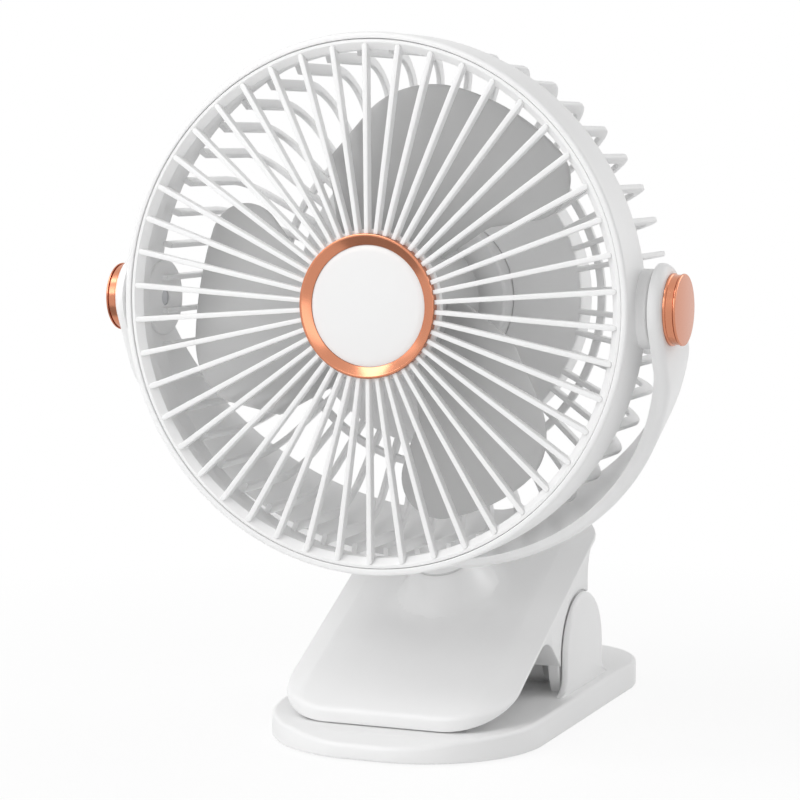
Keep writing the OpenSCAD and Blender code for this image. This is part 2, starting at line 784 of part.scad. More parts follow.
base_plate();
foot_pad_front();
foot_pad_rear();
lower_grip_pad();
upper_jaw();
upper_grip_pad();
rear_cover();
hinge_pin();
clip_spring();
battery_cell();
contact_left();
contact_right();
control_board();
charge_socket();
power_button();
indicator_lens();
swivel_washer();
swivel_retainer();
yoke();
pivot_screw_left();
pivot_screw_right();
tilt_washer_left();
tilt_washer_right();
pivot_cap_left();
pivot_cap_right();
rear_cage();
front_grille();
hub_ring();
hub_disc();
impeller();
impeller_nut();
motor_shaft();
rotor_bell();
magnet_ring();
stator();
bearing_front();
bearing_rear();
motor_base();
motor_housing();
pod_cover();
pod_screws();
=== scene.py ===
"""Portable camping fan: smooth outer pieces and finishes of a caged fan on a sprung clip base.

Lengths in the classes are millimetres and become metres when a mesh is made. The head frame
has its origin where the tilt axis crosses the middle of the fan, with Y along the fan's own
axis. The leaning frame has the same origin and its Z axis along the swivel axis. Corners of
a turned outline are (distance from the axis, place along it, radius). A pair of lengths is a
lower and an upper end, or a place in the plane of a side outline.
"""
import json
import logging
import math
from contextlib import contextmanager
from dataclasses import dataclass, field
from enum import Enum
from typing import Iterator, Optional, Sequence, Union

import bmesh
import bpy
import numpy as np
from mathutils import Matrix, Vector


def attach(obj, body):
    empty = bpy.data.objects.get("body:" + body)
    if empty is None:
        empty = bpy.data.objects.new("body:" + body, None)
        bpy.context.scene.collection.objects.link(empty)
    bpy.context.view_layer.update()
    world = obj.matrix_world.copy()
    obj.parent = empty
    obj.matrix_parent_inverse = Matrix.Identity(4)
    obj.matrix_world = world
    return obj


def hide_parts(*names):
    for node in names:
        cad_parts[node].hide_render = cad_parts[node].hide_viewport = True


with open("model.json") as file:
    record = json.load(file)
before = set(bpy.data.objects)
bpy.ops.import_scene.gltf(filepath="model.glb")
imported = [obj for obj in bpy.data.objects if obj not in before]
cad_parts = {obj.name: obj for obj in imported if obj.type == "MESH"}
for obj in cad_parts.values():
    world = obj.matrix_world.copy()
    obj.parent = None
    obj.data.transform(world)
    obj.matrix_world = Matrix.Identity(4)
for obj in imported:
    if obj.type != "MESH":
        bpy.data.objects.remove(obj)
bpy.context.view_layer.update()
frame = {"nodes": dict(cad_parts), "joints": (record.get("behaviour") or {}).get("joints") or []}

log = logging.getLogger("camping_fan")
Pair = tuple[float, float]
Triple = tuple[float, float, float]
Four = tuple[float, float, float, float]
MM = 0.001
X, Y, Z = np.eye(3)
JOINTS = {j["name"]: j for j in frame["joints"]}
PIVOT = np.array(JOINTS["head_tilt"]["pos_m"]) / MM
HINGE = np.array(JOINTS["clip_open"]["pos_m"]) / MM
SWIVEL = np.array(JOINTS["yoke_swivel"]["axis"])
LEAN = math.atan2(-SWIVEL[1], SWIVEL[2])


# ---- geometry ---------------------------------------------------------------


def about_x(angle: float) -> np.ndarray:
    """Rotation by an angle in radians about X, as a 3 by 3 array."""
    c, s = math.cos(angle), math.sin(angle)
    return np.array([[1, 0, 0], [0, c, -s], [0, s, c]])


def about_y(angles: np.ndarray) -> np.ndarray:
    """Rotations by angles in radians about Y, as a (k, 3, 3) array."""
    a = np.atleast_1d(angles).astype(float)
    c, s, o = np.cos(a), np.sin(a), np.zeros_like(a)
    return np.stack([c, o, s, o, o + 1, o, -s, o, c], -1).reshape(-1, 3, 3)


def spokes(turn: float, count: int) -> np.ndarray:
    """Rotations about Y to evenly spaced places, the first at minus a turn in degrees."""
    return about_y(-np.radians(turn) - np.arange(count) * 2 * math.pi / count)


def unit(vectors: np.ndarray) -> np.ndarray:
    """The rows of an array, each scaled to length 1."""
    return vectors / np.linalg.norm(vectors, axis=1)[:, None]


def arc(centre: Sequence[float], radius: float, degrees: np.ndarray) -> np.ndarray:
    """Points of a circle at angles a: p = c + r (cos a, sin a)."""
    a = np.radians(degrees)
    return np.stack([centre[0] + radius * np.cos(a), centre[1] + radius * np.sin(a)], -1)


def rounding(radius: float, distance: np.ndarray) -> np.ndarray:
    """Fall of an edge of radius f, at a distance d from it: f - sqrt(f^2 - (f - d)^2)."""
    return radius - np.sqrt(np.maximum(radius**2 - np.maximum(radius - distance, 0) ** 2, 0))


def level(plan: np.ndarray, height: Union[float, np.ndarray]) -> np.ndarray:
    """Points (x, y) of a plan, set at a height."""
    return np.column_stack([plan, np.broadcast_to(height, len(plan))])


def upright(x: float, line: np.ndarray) -> np.ndarray:
    """Points (y, z) of a side outline, set at x."""
    return np.column_stack([np.full(len(line), x), line])


@dataclass
class Shell:
    """One surface: points in millimetres and the quads that join them."""

    points: np.ndarray
    quads: np.ndarray

    @classmethod
    def grid(cls, points: np.ndarray, wrap_u: bool = False) -> "Shell":
        """Joins rings of points into quads.

        Args:
            points: Array of shape (u, v, 3), whose rows are closed rings.
            wrap_u: Whether the last row joins the first.

        Returns:
            The shell, with u * v points.
        """
        nu, nv = points.shape[:2]
        u, v = np.meshgrid(np.arange(nu - (not wrap_u)), np.arange(nv), indexing="ij")
        un, vn = (u + 1) % nu, (v + 1) % nv
        quads = np.stack([u * nv + v, un * nv + v, un * nv + vn, u * nv + vn], -1)
        return cls(points.reshape(-1, 3), quads.reshape(-1, 4))

    @classmethod
    def tube(cls, points: np.ndarray) -> "Shell":
        """Joins rings of points into a tube whose two ends are closed on their middles."""
        middles = [ring.mean(1, keepdims=True) for ring in (points[:1], points[-1:])]
        ends = [np.repeat(middle, points.shape[1], 1) for middle in middles]
        return cls.grid(np.concatenate([ends[0], points, ends[1]]))

    def __add__(self, other: "Shell") -> "Shell":
        """Both shells as one."""
        quads = np.vstack([self.quads, other.quads + len(self.points)])
        return Shell(np.vstack([self.points, other.points]), quads)

    def turned(self, turn: np.ndarray) -> "Shell":
        """The shell after a 3 by 3 rotation about the origin."""
        return Shell(self.points @ turn.T, self.quads)

    def shifted(self, offset: Sequence[float]) -> "Shell":
        """The shell moved by an offset in millimetres."""
        return Shell(self.points + np.asarray(offset, float), self.quads)

    def flipped(self) -> "Shell":
        """The shell's mirror image across the middle plane."""
        return Shell(self.points * (-1, 1, 1), self.quads[:, ::-1])

    def mirrored(self) -> "Shell":
        """The shell and its mirror image, as one shell."""
        return self + self.flipped()

    def copies(self, turns: np.ndarray) -> "Shell":
        """Copies of the shell, one for each (k, 3, 3) rotation: point[k] = turn[k] . point."""
        points = np.einsum("kij,nj->kni", turns, self.points)
        steps = np.arange(len(turns))[:, None, None] * len(self.points)
        return Shell(points.reshape(-1, 3), (self.quads[None] + steps).reshape(-1, 4))


def rounded(corners: Sequence[Sequence[float]], steps: int = 5) -> np.ndarray:
    """A closed outline whose corners become arcs.

    Each corner P with unit sides d1 and d2 and radius r gets the arc about
    P + (d1 + d2) / |d1 + d2| * r / sin(half the angle), from P + t d1 to P + t d2.

    Args:
        corners: Rows of x, y and radius, in order round the outline.
        steps: Pieces in each arc.

    Returns:
        Array of shape (corners * (steps + 1), 2).
    """
    c = np.asarray(corners, float)
    p, r = c[:, :2], c[:, 2:]
    d1, d2 = unit(np.roll(p, 1, 0) - p), unit(np.roll(p, -1, 0) - p)
    half = np.arccos(np.clip((d1 * d2).sum(1), -1, 1))[:, None] / 2
    mid = d1 + d2
    centre = p + mid / np.maximum(np.linalg.norm(mid, axis=1)[:, None], 1e-9) * r / np.sin(half)
    a, b = (p + d * r / np.tan(half) - centre for d in (d1, d2))
    turn = np.maximum(math.pi - 2 * half, 1e-6)[:, None]
    t = np.linspace(0, 1, steps + 1)[None, :, None]
    sweep_round = (np.sin((1 - t) * turn) * a[:, None] + np.sin(t * turn) * b[:, None]) / np.sin(turn)
    return (centre[:, None] + sweep_round).reshape(-1, 2)


def block(
    x: Sequence[float], y: Sequence[float], radii: Union[float, Sequence[float]], steps: int = 5
) -> np.ndarray:
    """A four-sided outline between x[0] and x[1] and between y[0] and y[1].

    Args:
        x: Lower and upper end across.
        y: Lower and upper end along.
        radii: Corner radii, from the corner (x[0], y[0]) by way of (x[1], y[0]), or one for all.
        steps: Pieces in each corner's arc.

    Returns:
        The outline, as rounded gives it.
    """
    corners = [(x[0], y[0]), (x[1], y[0]), (x[1], y[1]), (x[0], y[1])]
    return rounded(np.column_stack([corners, np.broadcast_to(radii, 4)]), steps)


def revolve(outline: np.ndarray, sides: int = 128) -> Shell:
    """Turns a closed outline of (r, y) round the Y axis: point = (r cos a, y, r sin a)."""
    a = np.linspace(0, 2 * math.pi, sides, endpoint=False)
    r, y = outline.T
    points = np.stack([np.outer(np.cos(a), r), np.tile(y, (sides, 1)), np.outer(np.sin(a), r)], -1)
    return Shell.grid(points, wrap_u=True)


def sweep(path: np.ndarray, side: np.ndarray, over: np.ndarray, section: np.ndarray) -> Shell:
    """Carries a closed section along a path: point = path + a * side + b * over.

    Args:
        path: (n, 3) points.
        side: Unit vectors that the section's first coordinate follows, or one for all.
        over: Unit vectors that the section's second coordinate follows, or one for all.
        section: (m, 2) outline, or (n, m, 2) where it changes along the path.

    Returns:
        The tube with its two ends closed.
    """
    side, over = (np.broadcast_to(v, path.shape)[:, None] for v in (side, over))
    s = np.broadcast_to(section, (len(path),) + section.shape[-2:])
    return Shell.tube(path[:, None] + s[..., :1] * side + s[..., 1:] * over)


def along_x(shell: Shell) -> Shell:
    """A shell made round the Y axis, turned to lie round X: y becomes x."""
    return shell.turned(np.array([[0, 1, 0], [-1, 0, 0], [0, 0, 1]], float))


def along_z(shell: Shell) -> Shell:
    """A shell made round the Y axis, turned to lie round Z: y becomes z."""
    return shell.turned(about_x(math.pi / 2))


def in_head(shell: Shell) -> Shell:
    """A shell of the head frame placed in the fan's own frame."""
    return shell.shifted(PIVOT)


def in_lean(shell: Shell) -> Shell:
    """A shell of the leaning frame placed in the fan's own frame."""
    return shell.turned(about_x(LEAN)).shifted(PIVOT)


# ---- shader maths -----------------------------------------------------------

Value = Union[float, "Socket"]


class Socket:
    """A shader output in a maths expression. Operators on it add Math nodes to its tree."""

    def __init__(self, graph: "Graph", output: bpy.types.NodeSocket) -> None:
        """Keeps the graph that the output belongs to."""
        self.graph = graph
        self.output = output

    def _math(self, operation: str, *values: Value) -> "Socket":
        """Adds one Math node and returns its output."""
        return self.graph.add("ShaderNodeMath", {"operation": operation}, dict(enumerate(values)))

    def __add__(self, other: Value) -> "Socket":
        """self + other."""
        return self._math("ADD", self, other)

    def __radd__(self, other: Value) -> "Socket":
        """other + self."""
        return self._math("ADD", other, self)

    def __sub__(self, other: Value) -> "Socket":
        """self - other."""
        return self._math("SUBTRACT", self, other)

    def __rsub__(self, other: Value) -> "Socket":
        """other - self."""
        return self._math("SUBTRACT", other, self)

    def __mul__(self, other: Value) -> "Socket":
        """self * other."""
        return self._math("MULTIPLY", self, other)

    def __rmul__(self, other: Value) -> "Socket":
        """other * self."""
        return self._math("MULTIPLY", other, self)

    def __pow__(self, power: float) -> "Socket":
        """self raised to a power."""
        return self._math("POWER", self, power)

    def sine(self) -> "Socket":
        """Sine of the value."""
        return self._math("SINE", self)

    def clamped(self) -> "Socket":
        """The value held between 0 and 1."""
        return self._math("MINIMUM", self._math("MAXIMUM", self, 0.0), 1.0)


class Graph:
    """The node tree of a material or a world."""

    def __init__(self, owner: Union[bpy.types.Material, bpy.types.World]) -> None:
        """Empties the owner's tree, which keeps only its output."""
        owner.use_nodes = True
        self.tree = owner.node_tree
        self.tree.nodes.clear()
        kind = "World" if isinstance(owner, bpy.types.World) else "Material"
        self.output = self.tree.nodes.new(f"ShaderNodeOutput{kind}")

    def add(
        self,
        kind: str,
        settings: Optional[dict] = None,
        inputs: Optional[dict] = None,
        out: Union[int, str] = 0,
    ) -> Socket:
        """Adds a node: its settings first, then the values or links of its sockets.

        Args:
            kind: The node's type name.
            settings: Properties of the node.
            inputs: Socket name or number to value or Socket.
            out: The output to return.

        Returns:
            The chosen output, ready for maths.
        """
        node = self.tree.nodes.new(kind)
        for key, value in (settings or {}).items():
            setattr(node, key, value)
        for key, value in (inputs or {}).items():
            self.feed(node.inputs[key], value)
        return Socket(self, node.outputs[out])

    def feed(self, target: bpy.types.NodeSocket, value: object) -> None:
        """Links or sets one socket."""
        if isinstance(value, Socket):
            self.tree.links.new(value.output, target)
        else:
            target.default_value = value

    def seen(self) -> Socket:
        """1 where the camera, a reflection or a clear piece sees the surface, 0 for its light."""
        rays = self.add("ShaderNodeLightPath").output.node.outputs
        kinds = ("Camera", "Glossy", "Transmission")
        camera, gloss, clear = (Socket(self, rays[f"Is {kind} Ray"]) for kind in kinds)
        return (camera + gloss + clear).clamped()

    def place(self) -> Socket:
        """Object coordinates, in metres."""
        return self.add("ShaderNodeTexCoord", out="Object")

    def noise(self, scale: float, detail: float = 2.0) -> Socket:
        """Smooth noise from 0 to 1, with this many waves to the metre."""
        inputs = {"Vector": self.place(), "Scale": scale, "Detail": detail}
        return self.add("ShaderNodeTexNoise", {}, inputs, "Fac")

    def mix(self, factor: Value, first: Sequence[float], second: Sequence[float]) -> Socket:
        """Colour between two colours."""
        inputs = {0: factor, 6: (*first, 1.0), 7: (*second, 1.0)}
        return self.add("ShaderNodeMix", {"data_type": "RGBA"}, inputs, 2)

    def shine(self, kind: str, strength: float) -> Socket:
        """A white Background or Emission shader."""
        return self.add(f"ShaderNode{kind}", {}, {"Color": (1, 1, 1, 1), "Strength": strength})

    def finish(self, factor: Value, first: Socket, second: Socket) -> None:
        """Ends the tree in a mix of two shaders."""
        mixed = self.add("ShaderNodeMixShader", {}, {0: factor, 1: first, 2: second})
        self.feed(self.output.inputs[0], mixed)


class Coating(Graph):
    """A material that ends in one Principled shader."""

    def __init__(self, name: str) -> None:
        """Makes the material."""
        self.material = bpy.data.materials.new(name)
        super().__init__(self.material)
        self.shader = self.tree.nodes.new("ShaderNodeBsdfPrincipled")
        self.feed(self.output.inputs[0], Socket(self, self.shader.outputs[0]))

    def varying(self, **inputs: Value) -> None:
        """Feeds sockets, named with _ for a space, with what changes over the surface."""
        for name, value in inputs.items():
            self.feed(self.shader.inputs[name.replace("_", " ")], value)

    def constant(self, **inputs: float) -> None:
        """Sets sockets, named with _ for a space, that are the same all over."""
        for name, value in inputs.items():
            self.shader.inputs[name.replace("_", " ")].default_value = value

    def bump(self, height: Socket, strength: float, distance: float) -> None:
        """Feeds the shader's normal from a height."""
        inputs = {"Height": height, "Strength": strength, "Distance": distance}
        self.varying(Normal=self.add("ShaderNodeBump", {}, inputs))


def linear(grey_or_rgb: Union[float, Sequence[float]]) -> Triple:
    """Screen values from 0 to 255 as a linear colour."""
    rgb = np.broadcast_to(np.asarray(grey_or_rgb, float) / 255, 3)
    low, high = rgb / 12.92, ((rgb + 0.055) / 1.055) ** 2.4
    return tuple(float(v) for v in np.where(rgb <= 0.04045, low, high))


# ---- finishes ---------------------------------------------------------------


@dataclass(frozen=True)
class Plastic:
    """Moulded plastic: a fine spark-eroded texture and a faint drift of gloss."""

    name: str
    slot: str
    colour: Triple
    roughness: float
    grain: float
    drift: float

    def build(self) -> bpy.types.Material:
        """Makes the material."""
        g = Coating(self.name)
        cloud = g.noise(scale=18.0, detail=3.0)
        grain = g.noise(scale=2600.0, detail=1.0)
        darker = tuple(c * 0.965 for c in self.colour)
        g.varying(
            Base_Color=g.mix((cloud * 1.6 - 0.3).clamped(), self.colour, darker),
            Roughness=cloud * self.drift * 2 + (self.roughness - self.drift),
        )
        g.constant(IOR=1.46)
        g.bump(grain, self.grain, distance=0.00004)
        return g.material


@dataclass(frozen=True)
class Plated:
    """Bright metal with a fine grain and a faint drift of tone and gloss."""

    name: str
    slot: str
    colour: Triple
    roughness: float
    grains: float = 9000.0

    def build(self) -> bpy.types.Material:
        """Makes the material."""
        g = Coating(self.name)
        cloud = g.noise(scale=60.0)
        fine = g.noise(self.grains, detail=1.0)
        deeper = tuple(c * 0.93 for c in self.colour)
        g.varying(
            Base_Color=g.mix(cloud, self.colour, deeper),
            Roughness=cloud * 0.08 + (self.roughness - 0.04),
        )
        g.constant(Metallic=1.0)
        g.bump(fine, strength=0.04, distance=0.00003)
        return g.material


@dataclass(frozen=True)
class Rubber:
    """Soft rubber: dull, with a coarse grain and pale dust."""

    name: str
    slot: str
    colour: Triple

    def build(self) -> bpy.types.Material:
        """Makes the material."""
        g = Coating(self.name)
        dust = (g.noise(scale=90.0, detail=4.0) * 2.4 - 1.1).clamped()
        pale = tuple(c * 0.9 + 0.04 for c in self.colour)
        g.varying(Base_Color=g.mix(dust, self.colour, pale), Roughness=dust * 0.12 + 0.78)
        g.bump(g.noise(scale=1500.0), strength=0.25, distance=0.0001)
        return g.material


@dataclass(frozen=True)
class Winding:
    """Enamelled copper wire: bands of round wire, each a fifth of a millimetre, with painted shade in the
    grooves between the turns and a painted highlight on their crowns.
    """

    name: str = "winding_copper"
    slot: str = "winding"
    pitch: float = 0.0002

    def build(self) -> bpy.types.Material:
        """Makes the material: height = sin(pi y / pitch) squared."""
        g = Coating(self.name)
        y = g.add("ShaderNodeSeparateXYZ", {}, {0: g.place()}, "Y")
        wave = (y * (math.pi / self.pitch)).sine() ** 2.0
        # The colour follows the wire's height: painted shade, dark where the turns meet, and a painted
        # highlight, light on each crown.
        g.varying(
            Base_Color=g.mix(wave, linear((120, 50, 20)), linear((214, 122, 66))),
            Roughness=0.45 - wave * 0.15,
        )
        g.constant(Metallic=0.8)
        g.bump(wave, strength=0.6, distance=0.00008)
        return g.material


@dataclass(frozen=True)
class Board:
    """Lacquered circuit board with faint tracks under the lacquer."""

    name: str = "board_green"
    slot: str = "circuit_green"
    cells: float = 420.0

    def build(self) -> bpy.types.Material:
        """Makes the material."""
        g = Coating(self.name)
        inputs = {"Vector": g.place(), "Scale": self.cells}
        cells = g.add("ShaderNodeTexVoronoi", {"feature": "DISTANCE_TO_EDGE"}, inputs, "Distance")
        track = (1 - cells * 9).clamped()
        g.varying(
            Base_Color=g.mix(track, linear((12, 70, 40)), linear((40, 120, 70))),
            Roughness=track * 0.1 + 0.22,
        )
        g.bump(track, strength=0.3, distance=0.00003)
        return g.material


class Finish(Enum):
    """Every finish on the fan."""

    SHELL = Plastic("shell_white", "white_shell", linear(246), 0.40, 0.06, 0.04)
    GLOSS = Plastic("disc_white", "white_gloss", linear(244), 0.24, 0.02, 0.03)
    BLADE = Plastic("blade_grey", "pale_grey_plastic", linear(205), 0.45, 0.05, 0.05)
    NYLON = Plastic("nylon_pale", "pale_nylon", linear(222), 0.5, 0.05, 0.05)
    PAD = Rubber("pad_pale", "pale_rubber", linear(205))
    FOOT = Rubber("foot_dark", "dark_rubber", linear(52))
    ROSE = Plated("rose_gold", "rose_gold", linear((210, 140, 109)), 0.2)
    STEEL = Plated("steel_plain", "steel", linear((196, 197, 200)), 0.3, 5000.0)
    WRAP = Plastic("cell_wrap", "cell_wrap", linear((70, 130, 165)), 0.25, 0.02, 0.03)
    LENS = Plastic("lens_clear", "lens", linear((214, 228, 232)), 0.12, 0.01, 0.02)
    MAGNET = Plastic("magnet_black", "magnet_black", linear(48), 0.5, 0.1, 0.08)
    COPPER = Winding()
    CIRCUIT = Board()


class Paint:
    """Builds each finish once and puts it on objects."""

    def __init__(self) -> None:
        """Starts with no materials built."""
        self.built: dict[Finish, bpy.types.Material] = {}

    def on(self, obj: bpy.types.Object, finish: Finish) -> None:
        """Gives an object one finish all over."""
        if finish not in self.built:
            self.built[finish] = finish.value.build()
        obj.data.materials.clear()
        obj.data.materials.append(self.built[finish])


PAINT = Paint()


# ---- pieces -----------------------------------------------------------------


def new_object(name: str, data: bpy.types.ID) -> bpy.types.Object:
    """Adds an object to the scene, at the origin."""
    obj = bpy.data.objects.new(name, data)
    bpy.context.scene.collection.objects.link(obj)
    return obj


def enter(
    name: str,
    mesh: bpy.types.Mesh,
    body: str,
    finish: Finish,
    nodes: Sequence[str],
    crease: float,
) -> bpy.types.Object:
    """Shades a mesh and enters it as one piece of the fan.

    Args:
        name: The piece's name.
        mesh: Its mesh, placed in the fan's frame, in metres.
        body: The body that it moves with.
        finish: Its finish.
        nodes: The construction's nodes that it stands for.
        crease: Edges sharper than this many degrees stay crisp.

    Returns:
        The object, whose place is in its mesh.
    """
    mesh.polygons.foreach_set("use_smooth", np.ones(len(mesh.polygons), bool))
    mesh.set_sharp_from_angle(angle=math.radians(crease))
    obj = new_object(name, mesh)
    PAINT.on(obj, finish)
    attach(obj, body)
    if nodes:
        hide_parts(*nodes)
    log.info("%s: %d faces on %s", name, len(mesh.polygons), body)
    return obj


@contextmanager
def opened(mesh: bpy.types.Mesh, weld: float) -> Iterator[bmesh.types.BMesh]:
    """Opens a mesh for a change, with points closer than a weld in metres merged first."""
    bm = bmesh.new()
    bm.from_mesh(mesh)
    bmesh.ops.remove_doubles(bm, verts=bm.verts, dist=weld)
    yield bm
    bm.to_mesh(mesh)
    bm.free()


def piece(
    name: str,
    shell: Shell,
    body: str,
    finish: Finish,
    nodes: Sequence[str] = (),
    crease: float = 40.0,
) -> bpy.types.Object:
    """Turns a shell, placed in the fan's frame, into one piece; the rest is as for enter."""
    weld = 0.5e-6
    mesh = bpy.data.meshes.new(name)
    mesh.from_pydata((shell.points * MM).tolist(), [], shell.quads.tolist())
    with opened(mesh, weld) as bm:
        bmesh.ops.dissolve_degenerate(bm, edges=bm.edges, dist=weld)
        bmesh.ops.recalc_face_normals(bm, faces=bm.faces)
    return enter(name, mesh, body, finish, nodes, crease)


def softened(
    name: str, node: str, body: str, finish: Finish, radius: float, segments: int
) -> bpy.types.Object:
    """A copy of a construction node, merged and with its crisp edges rounded.

    Args:
        name: The new piece's name.
        node: The construction node that it copies and stands for.
        body: The body that it moves with.
        finish: Its finish.
        radius: Width of the rounding, in millimetres.
        segments: Pieces across the rounding.

    Returns:
        The object.
    """
    weld, flat, bevelled, crease = 2e-6, math.radians(0.6), math.radians(28), 50.0
    mesh = frame["nodes"][node].data.copy()
    mesh.name = name
    with opened(mesh, weld) as bm:
        bmesh.ops.dissolve_limit(bm, angle_limit=flat, verts=bm.verts, edges=bm.edges)
    obj = enter(name, mesh, body, finish, [node], crease)
    bevel = obj.modifiers.new("rounding", "BEVEL")
    bevel.width = radius * MM
    bevel.segments = segments
    bevel.limit_method = "ANGLE"
    bevel.angle_limit = bevelled
    bevel.use_clamp_overlap = True
    bevel.miter_outer = "MITER_ARC"
    obj.modifiers.new("flat_faces", "WEIGHTED_NORMAL").keep_sharp = False
    return obj


# ---- head -------------------------------------------------------------------


@dataclass
class Cage:
    """The head's band, rear fins and front grille. Along the axis the front is negative."""

    band_r: float = 78.98
    wall: float = 2.6
    front: float = -18.7
    back: float = 0.0
    seat_r: float = 77.05
    seat_deep: float = 6.8
    ribs: int = 46
    rib_turn: float = 4.4
    rib_half: Pair = (0.66, 0.82)
    rib_span: Pair = (21.16, 74.9)
    rib_deep: float = 2.75
    rib_sink: float = 0.2
    ring_r: Pair = (73.9, 76.9)
    ring_deep: float = 6.3
    ring_sink: float = 0.4
    chamfer_across: float = 1.0
    chamfer_along: float = 2.0
    hub_r: Pair = (8.0, 22.3)
    hub_y: Pair = (-16.6, -14.6)
    fins: int = 46
    fin_turn: float = 3.2
    fin_t: float = 1.6
    fin_w: float = 3.6
    fin_root: float = 1.8
    fin_overlap: float = 0.6
    fin_bite: float = 0.4
    cage_back: float = 40.0
    bend: float = 12.0
    tie_r: Pair = (51.9, 54.3)
    tie_y: Pair = (-2.4, -0.3)
    plate_r: float = 47.0
    plate_y: Pair = (-3.4, -0.4)
    boss_hole: float = 2.55
    boss_r: float = 11.5
    boss_x: Pair = (74.8, 82.0)
    motor_r: float = 25.3
    sides: int = 192

    def band(self) -> Shell:
        """The band: an outline turned round the fan's axis, with a seat for the grille."""
        inner, step = self.band_r - self.wall, self.front + self.seat_deep
        corners = [
            (self.band_r, self.front, 0.9), (self.band_r, self.back, 0.7), (inner, self.back, 0.5),
            (inner, step, 0.1), (self.seat_r, step, 0.1), (self.seat_r, self.front, 0.35),
        ]
        return revolve(rounded(corners), self.sides)

    def fin(self) -> Shell:
        """One rear fin: a rounded bar along a straight, a quarter bend and a radial leg.

        Along the bend the path is centre + m (cos b, sin b), with m the middle radius.
        """
        outer = self.band_r - self.wall + self.fin_bite
        mid = self.bend - self.fin_w / 2
        cr, cy = outer - self.bend, self.cage_back - self.bend
        b = np.linspace(0, math.pi / 2, 9)
        radial = np.concatenate([[cr + mid], cr + mid * np.cos(b), [self.plate_r - self.fin_overlap]])
        depth = np.concatenate([[self.back - self.fin_root], cy + mid * np.sin(b), [cy + mid]])
        angle = np.concatenate([[0.0], b, [math.pi / 2]])
        path = np.stack([radial, depth, 0 * radial], -1)
        side = np.stack([np.cos(angle), np.sin(angle), 0 * angle], -1)
        w, t, edge = self.fin_w / 2, self.fin_t / 2, 0.45
        section = rounded([(w, -t, edge), (w, t, edge), (-w, t, edge), (-w, -t, edge)], 3)
        return sweep(path, side, Z, section)

    def rib(self) -> Shell:
        """One front rib: a flat-fronted bar that widens towards a rounded outer end.

        At radius r its half width is w = in + (out - in) * share, and past the end
        w = out * cos b while r = end + out * sin b.
        """
        (start, end), (narrow, wide) = self.rib_span, self.rib_half
        r = np.linspace(start, end, 12)
        w = narrow + (wide - narrow) * (r - start) / (end - start)
        b = np.linspace(0, math.pi / 2, 7)[1:]
        r = np.concatenate([r, end + wide * np.sin(b)])
        w = np.concatenate([w, wide * np.cos(b)])
        deep, front, rear = self.rib_deep, 0.26, 0.1
        bar = rounded([(1, 0, front), (1, deep, rear), (-1, deep, rear), (-1, 0, front)], 3)
        section = np.repeat(bar[None], len(r), 0)
        section[..., 0] *= w[:, None]
        path = np.stack([r, 0 * r + self.front + self.rib_sink, 0 * r], -1)
        return sweep(path, Z, Y, section)

    def grille(self) -> Shell:
        """The front grille: its ring with a lip and a chamfer, its hub plate and all the ribs."""
        y, (inner, outer) = self.front + self.ring_sink, self.ring_r
        corners = [
            (outer, y, 0.3), (outer, y + self.ring_deep, 0.2), (inner, y + self.ring_deep, 0.3),
            (inner, y + self.chamfer_along, 0.25), (outer - self.chamfer_across, y, 0.2),
        ]
        plate = revolve(block(self.hub_r, self.hub_y, (0.1, 0.3, 0.3, 0.1), 3))
        ribs = self.rib().copies(spokes(self.rib_turn, self.ribs))
        return revolve(rounded(corners), self.sides) + plate + ribs

    def rear(self) -> Shell:
        """All the rear fins with their tie ring and the plate in the middle."""
        tie_y, plate_y = (self.cage_back + np.array(y) for y in (self.tie_y, self.plate_y))
        tie = revolve(block(self.tie_r, tie_y, 0.4, 3))
        plate = revolve(block((self.motor_r + 0.2, self.plate_r), plate_y, (0.3, 0.6, 0.3, 0.3), 4))
        return tie + plate + self.fin().copies(spokes(self.fin_turn, self.fins))

    def bosses(self) -> Shell:
        """The round bosses on both sides that the tilt screws turn in."""
        boss = block((self.boss_hole, self.boss_r), self.boss_x, (0.1, 0.4, 0.9, 0.1), 4)
        return along_x(revolve(boss, 64)).mirrored()

    def build(self) -> None:
        """Makes the cage's pieces."""
        for name, shell, nodes in (
            ("cage_band", self.band(), ["rear_cage"]),
            ("cage_fins", self.rear(), []),
            ("cage_bosses", self.bosses(), []),
            ("grille", self.grille(), ["front_grille"]),
        ):
            piece(name, in_head(shell), "head", Finish.SHELL, nodes)


@dataclass
class Hub:
    """The rose-gold ring and the blank disc in the middle of the grille."""

    outer: float = 21.1
    inner: float = 17.8
    seat: float = -16.6
    crest: float = -19.35
    crest_w: float = 0.7
    dish: float = -17.9
    disc_gap: float = 0.06
    disc_edge: float = -17.6
    disc_crown: float = -18.15
    disc_fall: float = 0.35

    def build(self) -> None:
        """Makes the ring, dished towards the disc, and the disc, whose crown falls by k (r / R)^2."""
        corners = [
            (self.inner, self.seat, 0.05), (self.outer, self.seat, 0.1), (self.outer, self.crest, 0.28),
            (self.outer - self.crest_w, self.crest, 0.2), (self.inner, self.dish, 0.12),
        ]
        ring = revolve(rounded(corners), 160)
        piece("hub_trim", in_head(ring), "head", Finish.ROSE, ["hub_ring"])
        edge = self.inner - self.disc_gap
        r = np.linspace(edge - 0.4, 0, 12)
        crown = np.stack([r, self.disc_crown + self.disc_fall * (r / edge) ** 2], -1)
        turned = np.concatenate([[[edge, self.seat], [edge, self.disc_edge]], crown, [[0, self.seat]]])
        piece("hub_cover", in_head(revolve(turned, 128)), "head", Finish.GLOSS, ["hub_disc"])


